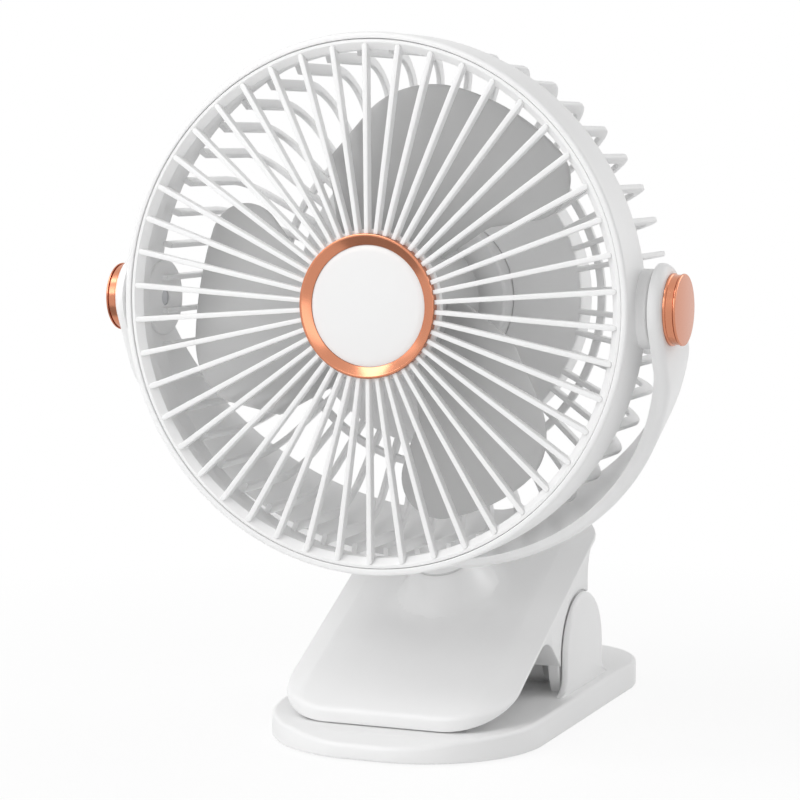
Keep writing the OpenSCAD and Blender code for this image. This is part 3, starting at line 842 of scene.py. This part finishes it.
@dataclass
class Impeller:
    """Three broad cambered blades on a round hub.

    A corner of a blade is its radius, the angle of its centre in degrees, and the edge's
    distances from the blade's axis at root_x[1] and at flank_x.
    """

    blades: int = 3
    tip_r: float = 66.6
    lead: Four = (22.6, 6.2, 22.0, 30.8)
    trail: Four = (12.1, 22.6, 5.0, 15.5)
    root_x: Pair = (8.0, 14.0)
    root_half: float = 11.0
    flank_x: float = 32.0
    pitch: float = -19.95
    camber_r: float = 88.3
    thickness: float = 1.7
    middle_y: float = 5.5
    turn: float = 175.3
    hub_r: float = 19.0
    hub_wall: float = 1.8
    hub_y: Pair = (-9.5, 24.0)
    face_t: float = 2.1
    bore_r: float = 1.5

    def half_width(self, x: np.ndarray, corner: Four) -> np.ndarray:
        """Distance from the blade's axis to one edge, at distances x from the hub's middle.

        The edge runs straight from (x1, w0) to (x2, w), along the tangent to the corner's
        circle, round that circle, whose centre lies at the angle a, and then along the tip.

        Args:
            x: Distances along the blade's axis.
            corner: The corner's radius, the angle a in degrees, w0 and w.

        Returns:
            Distances from the axis, none below zero.
        """
        r, turn, w0, w = corner
        a, x1, x2 = math.radians(turn), self.root_x[1], self.flank_x
        cx, cy = (self.tip_r - r) * math.cos(a), (self.tip_r - r) * math.sin(a)
        reach = math.hypot(cx - x2, cy - w)
        slant = math.atan2(cy - w, cx - x2) + math.asin(min(1.0, r / reach))
        touch = x2 + math.sqrt(max(reach**2 - r**2, 0)) * math.cos(slant)
        root = np.interp(x, self.root_x, [min(w0, self.root_half), w0])
        flank = np.where(x < x1, root, w0 + (w - w0) * (x - x1) / (x2 - x1))
        inner = np.where(x < x2, flank, w + math.tan(slant) * (x - x2))
        corner_arc = cy + np.sqrt(np.maximum(r**2 - (x - cx) ** 2, 0))
        tip = np.sqrt(np.maximum(self.tip_r**2 - x**2, 0))
        return np.where(x < touch, inner, np.where(x < self.tip_r * math.cos(a), corner_arc, tip))

    def blade(self) -> Shell:
        """One blade: a sheet on a cylinder of the camber radius, thinned to its edges.

        With z between the two edges at v from -1 to 1, the rear face lies at
        y = m - R cos p + sqrt(R^2 - (z - R sin p)^2), and the sheet's thickness is
        T sqrt(1 - v^10) sqrt(1 - u^16).
        """
        p, big, start = math.radians(self.pitch), self.camber_r, self.root_x[0]
        u = np.linspace(0, 1, 56)
        x = start + (self.tip_r - start) * np.sin(u * math.pi / 2)
        v = np.sin(np.linspace(-1, 1, 41) * math.pi / 2)
        up, down = (self.half_width(x, corner)[:, None] for corner in (self.lead, self.trail))
        z = (up - down) / 2 + (up + down) / 2 * v[None]
        thin = np.sqrt(1 - np.abs(v) ** 10)[None] * np.sqrt(np.maximum(1 - u**16, 0))[:, None]
        rear = self.middle_y - big * math.cos(p) + np.sqrt(big**2 - (z - big * math.sin(p)) ** 2)
        middle, half = rear - self.thickness / 2, thin * self.thickness / 2
        across = np.broadcast_to(x[:, None], z.shape)
        faces = [np.stack([across, middle + s * half, z], -1) for s in (1, -1)]
        return Shell.grid(np.concatenate([faces[0], faces[1][:, ::-1]], 1))

    def build(self) -> None:
        """Makes the hub, a cup that opens to the back, and the blades."""
        (front, back), r = self.hub_y, self.hub_r
        inner, face = r - self.hub_wall, front + self.face_t
        corners = [
            (self.bore_r, front, 0), (r, front, 2.2), (r, back, 0.4), (inner, back, 0.4),
            (inner, face, 0.8), (self.bore_r, face, 0),
        ]
        turns = about_y(np.radians(self.turn + np.arange(self.blades) * 360.0 / self.blades))
        shell = self.blade().copies(turns) + revolve(rounded(corners, 6), 96)
        piece("fan_blades", in_head(shell), "rotor", Finish.BLADE, ["impeller"])


@dataclass
class Drive:
    """The motor's housing in the cage and the pod that closes it behind."""

    motor_r: float = Cage.motor_r
    motor_front: float = 29.8
    motor_wall: float = 1.8
    motor_face: float = 1.6
    bore_r: float = 7.0
    rim_r: float = 30.0
    rim_t: float = 1.5
    pod_r: float = 46.0
    pod_wall: float = 2.2
    back: float = Cage.cage_back
    sink: float = 0.3
    deep: float = 55.0

    def build(self) -> None:
        """Makes the housing with its rolled front edge, and the pod's cup."""
        r, front, inner = self.motor_r, self.motor_front, self.motor_r - self.motor_wall
        low = self.back - self.sink
        rim, face = low + self.rim_t, front + self.motor_face
        housing = [
            (self.bore_r, front, 0.4), (r, front, 1.1), (r, low, 0.4), (self.rim_r, low, 0.3),
            (self.rim_r, rim, 0.3), (inner, rim, 0.2), (inner, face, 0.5), (self.bore_r, face, 0.2),
        ]
        cup = revolve(rounded(housing, 4))
        piece("motor_cup", in_head(cup), "head", Finish.SHELL, ["motor_housing"])
        r, deep, t = self.pod_r, self.deep, self.pod_wall
        pod = [
            (r - t, low, 0.3), (r, low, 0.3), (r, deep, 5.0), (0, deep, 0),
            (0, deep - t, 0), (r - t, deep - t, 3.0),
        ]
        cup = revolve(rounded(pod, 8), 160)
        piece("pod_cup", in_head(cup), "head", Finish.SHELL, ["pod_cover"])


# ---- yoke -------------------------------------------------------------------


@dataclass
class Yoke:
    """The half-round yoke, its swivel boss and the rose-gold pivot caps."""

    inner_r: float = 84.0
    outer_r: float = 88.6
    half_w: float = 13.2
    arm_in: float = 82.8
    arm_out: float = 86.4
    fillet: float = 3.0
    boss_r: float = 9.2
    boss_z: Pair = (-92.4, -85.5)
    slip_r: Pair = (2.0, 8.9)
    slip_low: float = -93.15
    cap_r: float = 10.4
    cap_out: float = 90.1

    def face(self, radius: float, arm: float, s: np.ndarray, rise: np.ndarray) -> np.ndarray:
        """Stations (x, z) of one face: round by s, held at the arm's x, and then up by the rise."""
        x = np.minimum(np.concatenate([radius * np.sin(s), 0 * rise + arm]), arm)
        return np.stack([x, np.concatenate([-radius * np.cos(s), rise])], -1)

    def band(self) -> Shell:
        """The yoke's band, as a grid of stations along it and places across it.

        A station turns by s from the bottom to the arms and then rises to the round end.
        Across it n = w v, and the outer face falls towards its edges by the rounding.
        """
        s = np.linspace(0, math.pi / 2, 60)
        rise = self.half_w * np.sin(np.linspace(0, math.pi / 2, 16)[1:])
        outer = self.face(self.outer_r, self.arm_out, s, rise)
        inner = self.face(self.inner_r, self.arm_in, s, rise)
        up = np.maximum(outer[:, 1], 0)
        w = np.sqrt(np.maximum(self.half_w**2 - up**2, 0))
        v = np.sin(np.linspace(-1, 1, 33) * math.pi / 2)
        n = w[:, None] * v[None]
        drop = rounding(self.fillet, np.maximum(self.half_w - np.hypot(n, up[:, None]), 0))
        away = unit(outer - inner)
        fallen = outer[:, None] - away[:, None] * drop[..., None]
        flat = np.broadcast_to(inner[:, None], fallen.shape)
        sheets = [np.stack([xz[..., 0], n, xz[..., 1]], -1) for xz in (fallen, flat)]
        ring = np.concatenate([sheets[0], sheets[1][:, ::-1]], 1)
        return Shell.grid(np.concatenate([ring[:0:-1] * (-1, 1, 1), ring]))

    def cap(self) -> Shell:
        """The right pivot cap: a flange, a side with a groove near its end, and a flat face."""
        a, c, r = self.arm_out, self.cap_out, self.cap_r
        flange, ledge, groove, side, floor, rim = a + 0.8, c - 0.85, c - 0.6, r - 0.4, r - 0.8, r - 0.1
        corners = [
            (0, a + 0.02, 0), (r, a + 0.02, 0.1), (r, flange, 0.3), (side, flange, 0.12),
            (side, ledge, 0.1), (floor, ledge, 0.05), (floor, groove, 0.05), (rim, groove, 0.08),
            (rim, c, 0.35), (0, c, 0),
        ]
        return in_head(along_x(revolve(rounded(corners), 96)))

    def build(self) -> None:
        """Makes the yoke with its boss, the slip ring under it and both caps."""
        boss = block((0, self.boss_r), self.boss_z, (0, 0.25, 0, 0), 4)
        slip = block(self.slip_r, (self.slip_low, self.boss_z[0]), (0, 0.1, 0.1, 0), 3)
        shell = self.band() + along_z(revolve(boss, 72))
        piece("yoke_band", in_lean(shell), "yoke", Finish.SHELL, ["yoke"])
        washer = in_lean(along_z(revolve(slip, 72)))
        piece("swivel_slip", washer, "yoke", Finish.NYLON, ["swivel_washer"])
        piece("cap_right", self.cap(), "yoke", Finish.ROSE, ["pivot_cap_right"])
        piece("cap_left", self.cap().flipped(), "yoke", Finish.ROSE, ["pivot_cap_left"])


# ---- base -------------------------------------------------------------------


@dataclass
class Base:
    """The long flat base with its two hinge ears."""

    width: float = 86.0
    length: float = 156.0
    top: float = 9.5
    nose: float = 6.9
    ramp: float = 46.0
    front_r: float = 38.0
    rear_r: float = 28.0
    front_edge: float = 5.2
    front_slope: float = 16.7
    edge_r: float = 1.3
    lift: float = 0.6
    ear_r: float = 18.2
    ear_in: float = 37.4
    ear_out: float = 39.4
    ear_edge: float = 1.6
    ear_foot: float = 6.0
    ear_sink: float = 1.2
    ear_middle: float = 4.0

    def outline(self, count: int = 240) -> tuple[np.ndarray, np.ndarray]:
        """The plan outline and its outward directions.

        Each corner is an arc about its centre, p = c + r (cos a, sin a), and the
        outward direction there is (cos a, sin a).
        """
        a = (np.arange(count) + 0.5) / count * 2 * math.pi
        out = np.stack([np.cos(a), np.sin(a)], -1)
        r = np.where(out[:, 1] < 0, self.front_r, self.rear_r)[:, None]
        centre = np.sign(out) * (np.array([self.width, self.length]) / 2 - r)
        return centre + r * out, out

    def top_at(self, y: np.ndarray) -> np.ndarray:
        """Height of the top at y: the lower of the flat, the ramp and the front slope."""
        front = y + self.length / 2
        ramp = self.nose + (self.top - self.nose) * front / self.ramp
        slope = self.front_edge + math.tan(math.radians(self.front_slope)) * front
        return np.minimum(np.minimum(self.top, ramp), slope)

    def plate(self) -> Shell:
        """The plate: rings from the underside, up the wall and over the edge to the middle."""
        line, out = self.outline()
        f, low = self.edge_r, self.lift
        rows = [level(line * scale, low) for scale in (0.0, 0.5, 0.9)]
        rows += [level(line - out * inset, low + up) for inset, up in ((0.8, 0), (0.25, 0.25), (0, 0.8))]
        for angle in np.linspace(0, math.pi / 2, 6):
            place = line - out * f * (1 - math.cos(angle))
            rows.append(level(place, self.top_at(place[:, 1]) - f * (1 - math.sin(angle))))
        for scale in (*np.linspace(0.997, 0.86, 34), 0.84, 0.78, 0.7, 0.55, 0.35, 0.15, 0.0):
            place = (line - out * f) * scale
            rows.append(level(place, self.top_at(place[:, 1])))
        return Shell.grid(np.stack(rows))

    def ear(self) -> Shell:
        """One ear: its side outline carried across its thickness, with rounded rims.

        The outline is the circle about the hinge down to both sides, then a flare that
        runs out into the base.
        """
        (hy, hz), r, foot, f = HINGE[1:], self.ear_r, self.ear_foot, self.ear_edge
        low = self.top - self.ear_sink
        flare = arc((0, 0), foot, np.linspace(180, 262, 9))
        rear = flare + (hy + r + foot, self.top + foot)
        front = flare[::-1] * (-1, 1) + (hy - r - foot, self.top + foot)
        arch = arc((hy, hz), r, np.linspace(0, 180, 49))
        foot_line = [[front[0, 0], low], [rear[-1, 0], low]]
        line = np.concatenate([rear[::-1], arch, front[::-1], foot_line])
        middle = np.tile([hy, hz - self.ear_middle], (len(line), 1))
        inward = unit(middle - line)
        steps = [(self.ear_in, 0.5), (self.ear_in + 0.5, 0.0)]
        for t in np.linspace(0, math.pi / 2, 6):
            steps.append((self.ear_out - f * (1 - math.sin(t)), f * (1 - math.cos(t))))
        rims = [upright(x, line + inward * inset) for x, inset in steps]
        return Shell.grid(np.stack([upright(self.ear_in, middle), *rims, upright(self.ear_out, middle)]))

    def build(self) -> None:
        """Makes the plate and both ears."""
        piece("base_shell", self.plate(), "base", Finish.SHELL, ["base_plate"], 50.0)
        piece("hinge_ears", self.ear().mirrored(), "base", Finish.SHELL, (), 50.0)


@dataclass
class Jaw:
    """The sprung upper jaw: a sloping deck, a belly round the hinge and a neck for the yoke."""

    half_w: float = 37.5
    lip: float = -64.2
    crest: float = 32.7
    lip_r: float = 19.0
    rear_r: float = 7.0
    lip_bottom: float = 8.0
    face_h: float = 16.34
    sheet: float = 4.257
    bevel_from: float = 29.0
    bevel_fall: float = 0.408
    arch_at: Pair = (-22.4, 17.9)
    arch_r: float = 10.0
    arch_end: float = 49.2
    cheek_tip: Pair = (-7.8, 18.5)
    ear_gap_r: float = 18.8
    tail_at: Pair = (35.0, 42.6)
    tail_r: float = 16.4
    wall_y: float = 18.9
    belly_w: float = 28.4
    knuckle_r: float = 11.2
    roof_z: Pair = (50.0, 42.0)
    door_w: float = 24.0
    door_low: float = 26.0
    door_high: float = 44.0
    door_deep: float = 15.0
    pocket_w: float = 12.5
    pocket_r: float = 5.2
    pocket_start: float = 242.3
    groove_x: Pair = (6.6, 9.2)
    groove_deep: float = 1.2
    neck_r: float = 9.2
    neck_flare: float = 13.0
    neck_h: float = 12.0
    neck_top: float = 93.2
    neck_share: float = 0.5
    cheek_x: Pair = (33.2, 36.8)
    cheek_r: Pair = (12.0, 19.1)
    cheek_turn: Pair = (-14.0, 223.0)

    def face(self, y: np.ndarray) -> np.ndarray:
        """Height of the sloping face at y: z = h + (y - tilt axis) tan(lean)."""
        return self.face_h + (y - PIVOT[1]) * math.tan(LEAN)

    def underside(self) -> np.ndarray:
        """Stations (y, z) along the deck's underside, from the lip to the crest.

        They follow the tongue, the arch over the clip's mouth, the circle over the ears,
        the rear wall and the hollow under the crest.
        """
        start = self.arch_at[0] - self.arch_r * math.sin(LEAN)
        corner = self.lip + self.lip_r * (1 - np.cos(np.linspace(0, math.pi / 2, 14)))
        tongue = np.concatenate([corner, np.linspace(corner[-1], start, 9)[1:-1]])
        low = np.maximum(self.face(tongue) - self.sheet, self.lip_bottom)
        mouth = arc(self.arch_at, self.arch_r, np.linspace(90 + math.degrees(LEAN), self.arch_end, 11))
        cheek = mouth[-1] + (np.array(self.cheek_tip) - mouth[-1]) * np.linspace(0.2, 1, 5)[:, None]
        wall = self.tail_at[0] - self.tail_r
        last = math.degrees(math.acos((wall - HINGE[1]) / self.ear_gap_r))
        gap = arc(HINGE[1:], self.ear_gap_r, np.linspace(180.0, last, 24))
        end = math.degrees(math.acos((self.crest - self.tail_at[0]) / self.tail_r))
        shares = np.array([0, 0.14, 0.28, 0.42, 0.56, 0.7, 0.8, 0.88, 0.94, 0.97, 0.985, 1])
        hollow = arc(self.tail_at, self.tail_r, 180 - (180 - end) * shares)
        return np.concatenate([np.stack([tongue, low], -1), mouth, cheek, gap, hollow])

    def outline_at(self, y: np.ndarray) -> np.ndarray:
        """Half width of the plan at y: w less the rounding of the nearer end's corner."""
        front = rounding(self.lip_r, y - self.lip)
        return self.half_w - np.maximum(front, rounding(self.rear_r, self.crest - y))

    def inset(self, x: np.ndarray, y: np.ndarray) -> np.ndarray:
        """Distance from the plan's edge: r - |max(q, 0)| - min(max(q), 0), q from the corner's centre."""
        front = y < (self.lip + self.crest) / 2
        r = np.where(front, self.lip_r, self.rear_r)
        q = np.stack([np.abs(x) - self.half_w, np.where(front, self.lip - y, y - self.crest)]) + r
        return r - np.linalg.norm(np.maximum(q, 0), axis=0) - np.minimum(q.max(0), 0)

    def swell(self, x: np.ndarray, y: np.ndarray) -> np.ndarray:
        """Rise of the neck's flare off the face, at points of the face.

        At the distance s from the swivel axis t = (s - r) / f and the rise is h (1 - t)^3,
        held level where the neck itself takes over.
        """
        foot = PIVOT[1] + (self.neck_top + self.neck_h) * math.sin(LEAN)
        s = np.hypot(x, (y - foot) / math.cos(LEAN))
        t = np.clip((s - self.neck_r) / self.neck_flare, self.neck_share, 1)
        return self.neck_h * (1 - t) ** 3

    def deck(self) -> Shell:
        """The deck as a grid of stations and places across, both rounded at the plan's edge.

        The top falls by the rounding, and also by k (t + sqrt(t^2 + c)) / 2 past the bevel's
        start, t being the distance past it; c is small on the left, where the bevel is crisp.
        """
        crisp, soft, flat_share, thinnest = 0.05, 1.0, 0.78, 0.15
        edge, thicker, lip_from, lip_length, lower_edge = 0.35, 0.8, -44.0, 14.0, 0.3
        line = self.underside()
        w = self.outline_at(line[:, 0])
        flat = np.minimum(self.bevel_from, flat_share * w)
        slope = np.array([0.03, 0.07, 0.14, 0.25, 0.4, 0.6, 0.8, 0.9, 0.95, 0.98, 1.0])
        right = flat[:, None] + (w - flat)[:, None] * slope
        x = np.concatenate([-right[:, ::-1], flat[:, None] * np.linspace(-1, 1, 49), right], 1)
        y = np.repeat(line[:, :1], x.shape[1], 1)
        d = np.maximum(self.inset(x, y), 0)
        past = np.abs(x) - self.bevel_from
        bevel = self.bevel_fall * (past + np.sqrt(past**2 + np.where(x < 0, crisp, soft))) / 2
        lip = edge + thicker * np.clip((lip_from - y) / lip_length, 0, 1)
        rise = self.swell(x, y)
        height = self.face(y) - bevel - rounding(lip, d) + rise * math.cos(LEAN)
        top = np.stack([x, y - rise * math.sin(LEAN), height], -1)
        under = np.stack([x, y, line[:, 1:] + rounding(lower_edge, d)], -1)
        under[..., 2] = np.minimum(under[..., 2], top[..., 2] - thinnest)
        return Shell.tube(np.concatenate([top, under[:, ::-1]], 1))

    def belly(self) -> Shell:
        """The belly: its side outline carried across in stations that open the door and the pocket.

        Every station has the same number of points, so the steps between two kinds of
        station close themselves.
        """
        first, start, lip_end, wall_end, middle = 200.0, self.pocket_start, 26.6, 45.1, (8, 30)

        def circle(a: float, b: float, count: int, radius: float = self.knuckle_r) -> np.ndarray:
            """Points on a circle about the hinge, from angle a to b in degrees."""
            return arc(HINGE[1:], radius, np.linspace(a, b, count))

        def spread(corners: np.ndarray, count: int) -> np.ndarray:
            """Evenly spaced points along a polyline, that keep its corners."""
            steps = np.linalg.norm(np.diff(corners, axis=0), axis=1)
            length = np.concatenate([[0], np.cumsum(steps)])
            at = np.linspace(0, length[-1], count)
            at[np.abs(at[:, None] - length).argmin(0)] = length
            return np.stack([np.interp(at, length, corners[:, k]) for k in (0, 1)], -1)

        front = [[-22, 31.0], [-16, 28.6], [-10, 25.5], [-5.5, 22.8], [-2.2, 19.8], [-0.6, 17.4]]
        low, closed_pocket = circle(first, start, 8), circle(start, 360, 40)
        door_lip = circle(0, lip_end, 6)
        wall, deep, high = self.wall_y, self.door_deep, self.door_high
        closed_door = np.concatenate([circle(lip_end, wall_end, 5), [[wall, high]]])
        open_door = np.array([door_lip[-1], [deep, self.door_low], [deep, high], [wall, high]])
        roof = [[wall, self.roof_z[0]], [0, self.roof_z[1]]]

        def outline(door: bool, pocket: float) -> np.ndarray:
            """One station's outline; a pocket of radius 0 is closed."""
            room = closed_pocket
            if pocket:
                half = circle(180, 0, 17, pocket)
                half[:, 0] = np.maximum(half[:, 0], low[-1, 0])
                room = spread(np.concatenate([low[-1:], half, closed_pocket[-1:]]), 40)
            back = spread(open_door if door else closed_door, 14)
            return np.concatenate([front, low, room[1:], door_lip[1:], back[1:], roof])

        shut, plain = outline(False, 0), outline(True, 0)
        sprung = outline(True, self.pocket_r)
        grooved = outline(True, self.pocket_r + self.groove_deep)
        w, d, k, (g0, g1) = self.belly_w, self.door_w, self.pocket_w, self.groove_x
        stations = [
            (-w, shut), (-d, shut), (-d, plain), (-k, plain), (-k, sprung), (g0, sprung), (g0, grooved),
            (g1, grooved), (g1, sprung), (k, sprung), (k, plain), (d, plain), (d, shut), (w, shut),
        ]
        rows = np.stack([upright(x, line) for x, line in stations])
        left, right = (np.zeros_like(rows[:1]) + (x, *middle) for x in (-w, w))
        return Shell.grid(np.concatenate([left, rows, right]))

    def neck(self) -> Shell:
        """The neck, turned round the swivel axis on the flare's own curve.

        Past the share where the deck takes over it sinks below the deck by k (t - share)^2.
        """
        skirt, sink, foot = 0.25, 0.3, 0.9
        t = np.linspace(self.neck_share + skirt, 0, 20)
        r = self.neck_r + self.neck_flare * t
        sunk = sink * np.maximum((t - self.neck_share) / skirt, 0) ** 2
        z = self.neck_h * (1 - t) ** 3 - sunk - self.neck_top - self.neck_h
        n, top, low = self.neck_r, z[-1], z[0] - foot
        rim = [[n, top - 0.12], [n - 0.15, top], [0, top], [0, low], [r[0], low]]
        line = np.concatenate([np.stack([r, z], -1)[:-1], rim])
        return in_lean(along_z(revolve(line, 96)))

    def cheeks(self) -> Shell:
        """The walls round the hinge on both sides: p = hinge + x X + r (0, cos a, sin a)."""
        turn = np.linspace(*self.cheek_turn, 80)
        over = upright(0.0, arc((0, 0), 1.0, turn))
        path = np.tile([0, HINGE[1], HINGE[2]], (len(turn), 1))
        wall = block(self.cheek_x, self.cheek_r, (0.3, 0.3, 0.5, 0.4), 4)
        return sweep(path, X, over, wall).mirrored()

    def build(self) -> None:
        """Makes the jaw as one piece."""
        shell = self.deck() + self.belly() + self.cheeks() + self.neck()
        piece("jaw_shell", shell, "jaw", Finish.SHELL, ["upper_jaw"], 38.0)


@dataclass
class Clip:
    """The clip's spring, and the door and the button that the upper jaw carries."""

    turns: int = 7
    coil_r: float = 3.9
    pitch: float = 2.2
    wire_r: float = 0.8
    leg_down: Triple = (-0.2, 0.0, -10.4)
    leg_up: Triple = (0.2, 0.0, 3.4)

    def spring(self) -> Shell:
        """The torsion spring: a helix round the hinge pin with a straight leg at each end.

        On the coil the point is (p t, c cos a, c sin a) with a the angle turned.
        """
        a = np.linspace(0, 2 * math.pi * self.turns, 24 * self.turns + 1)
        x = (a / (2 * math.pi) - self.turns / 2) * self.pitch
        coil = np.stack([x, self.coil_r * np.cos(a), self.coil_r * np.sin(a)], -1)
        down = coil[0] + np.linspace(1, 0, 6)[:-1, None] * self.leg_down
        up = coil[-1] + np.linspace(0, 1, 4)[1:, None] * self.leg_up
        path = np.concatenate([down, coil, up])
        along = unit(np.gradient(path, axis=0))
        side = unit(np.cross(along, X))
        section = arc((0, 0), self.wire_r, np.arange(12) * 30.0)
        return sweep(path, side, np.cross(along, side), section)

    def build(self) -> None:
        """Makes the spring and the softened small pieces."""
        piece("torsion_spring", self.spring().shifted(HINGE), "base", Finish.STEEL, ["clip_spring"])
        softened("battery_door", "rear_cover", "jaw", Finish.SHELL, 0.25, 2)
        softened("button_cap", "power_button", "button", Finish.SHELL, 0.4, 3)


# ---- the rest of the construction ---------------------------------------------

CARRIED_OVER = {
    Finish.FOOT: "foot_pad_front foot_pad_rear",
    Finish.PAD: "lower_grip_pad upper_grip_pad",
    Finish.STEEL: "hinge_pin contact_left contact_right charge_socket swivel_retainer pivot_screw_left "
    "pivot_screw_right impeller_nut motor_shaft rotor_bell bearing_front bearing_rear pod_screws",
    Finish.NYLON: "tilt_washer_left tilt_washer_right motor_base",
    Finish.WRAP: "battery_cell",
    Finish.CIRCUIT: "control_board",
    Finish.LENS: "indicator_lens",
    Finish.MAGNET: "magnet_ring",
    Finish.COPPER: "stator",
}


def dress_nodes() -> None:
    """Gives every construction node that stays in view its finish."""
    for finish, names in CARRIED_OVER.items():
        for name in names.split():
            PAINT.on(frame["nodes"][name], finish)
            log.info("%s: %s", name, finish.value.name)


# ---- studio -----------------------------------------------------------------


def matt(name: str, waves: float, dark: float, light: float) -> Coating:
    """A dull coating that drifts between two greys, given from 0 to 255."""
    g = Coating(name)
    g.varying(Base_Color=g.mix(g.noise(waves), linear(dark), linear(light)))
    g.constant(Roughness=0.9, Specular_IOR_Level=0.1)
    return g


def card(name: str, x: Sequence[float], y: Sequence[float], z: float, g: Coating) -> bpy.types.Object:
    """A level card of the studio, between two x and two y in millimetres."""
    mesh = bpy.data.meshes.new(name)
    corners = [(x[0], y[0], z), (x[1], y[0], z), (x[1], y[1], z), (x[0], y[1], z)]
    mesh.from_pydata([Vector(corner) * MM for corner in corners], [], [(0, 1, 2, 3)])
    mesh.materials.append(g.material)
    obj = new_object(name, mesh)
    return obj


@dataclass
class Studio:
    """The camera, the lamps, the pale floor and the white surround.

    A lamp is its place, the two sides of its panel and its power.
    """

    camera_at: Triple = (293.58, -767.58, 181.09)
    azimuth: float = 22.22
    elevation: float = 5.63
    focal_px: float = 2600.0
    frame_px: float = 800.0
    sensor: float = 36.0
    ambient: float = 0.375
    aim: Triple = (0, -20, 105)
    floor_half: float = 6000.0
    shadow: float = 0.11
    shadow_from: float = 0.12
    shadow_fade: float = 5.0
    flag_x: Pair = (-320, -20)
    flag_y: Pair = (-250, -95)
    lamps: dict = field(
        default_factory=lambda: {
            "key": ((-420, -820, 520), (500, 500), 2.9),
            "side": ((-900, -100, 700), (600, 600), 0.8),
            "crown": ((-500, -500, 1000), (500, 500), 3.0),
            "back": ((560, 480, 480), (600, 600), 2.1),
            "glint": ((450, -795, 370), (220, 700), 0.65),
        }
    )

    def camera(self) -> None:
        """Puts the camera in its place, looking along its azimuth and elevation."""
        data = bpy.data.cameras.new("camera")
        data.sensor_width = self.sensor
        data.lens = self.focal_px * self.sensor / self.frame_px
        data.clip_end = 20.0
        obj = new_object("camera", data)
        az, el = math.radians(self.azimuth), math.radians(self.elevation)
        ahead = Vector((-math.sin(az) * math.cos(el), math.cos(az) * math.cos(el), -math.sin(el)))
        right = Vector((math.cos(az), math.sin(az), 0))
        turn = Matrix((right, right.cross(ahead), -ahead)).transposed().to_4x4()
        obj.matrix_world = Matrix.Translation(Vector(self.camera_at) * MM) @ turn
        bpy.context.scene.camera = obj

    def light(self) -> None:
        """Hangs the soft lamps, each aimed at the middle of the fan."""
        for name, (place, size, power) in self.lamps.items():
            data = bpy.data.lights.new(name, "AREA")
            data.shape = "RECTANGLE"
            data.size, data.size_y = (side * MM for side in size)
            data.energy = power
            obj = new_object(name, data)
            obj.location = Vector(place) * MM
            obj.rotation_mode = "QUATERNION"
            ray = Vector(self.aim) * MM - obj.location
            obj.rotation_quaternion = ray.to_track_quat("-Z", "Y")

    def surround(self) -> None:
        """A world that lights evenly, and is plain white to the camera and in reflections."""
        world = bpy.data.worlds.new("surround")
        g = Graph(world)
        lit, white = g.shine("Background", self.ambient), g.shine("Background", 1.0)
        g.finish(g.seen(), lit, white)
        bpy.context.scene.world = world

    def floor(self) -> None:
        """A pale floor that stays white to the camera, but for the fan's soft shadow near it."""
        g = matt("floor_white", 3.0, 250, 252)
        away = g.add("ShaderNodeVectorMath", {"operation": "LENGTH"}, {0: g.place()}, "Value")
        near = (1.0 - (away - self.shadow_from) * self.shadow_fade).clamped()
        white, lit = g.shine("Emission", 1.0), Socket(g, g.shader.outputs[0])
        g.finish(g.seen() * (1.0 - near * self.shadow), lit, white)
        span = (-self.floor_half, self.floor_half)
        card("floor", span, span, 0.0, g)

    def flag(self) -> None:
        """A grey card on the floor, seen only in reflections, that gives the plated trim its shade."""
        obj = card("flag", self.flag_x, self.flag_y, 0.5, matt("flag_grey", 8.0, 186, 194))
        for kind in ("camera", "diffuse", "shadow", "transmission", "volume_scatter"):
            setattr(obj, f"visible_{kind}", False)

    def build(self) -> None:
        """Sets up the whole studio."""
        self.camera()
        self.light()
        self.surround()
        self.floor()
        self.flag()
        bpy.context.scene.view_settings.view_transform = "Standard"


def main() -> None:
    """Builds the studio and every sub-assembly, in order."""
    logging.basicConfig(level=logging.INFO, format="%(message)s")
    Studio().build()
    for part in (Cage(), Hub(), Impeller(), Drive(), Yoke(), Base(), Jaw(), Clip()):
        part.build()
        log.info("built %s", type(part).__name__)
    dress_nodes()


if __name__ == "__main__":
    main()
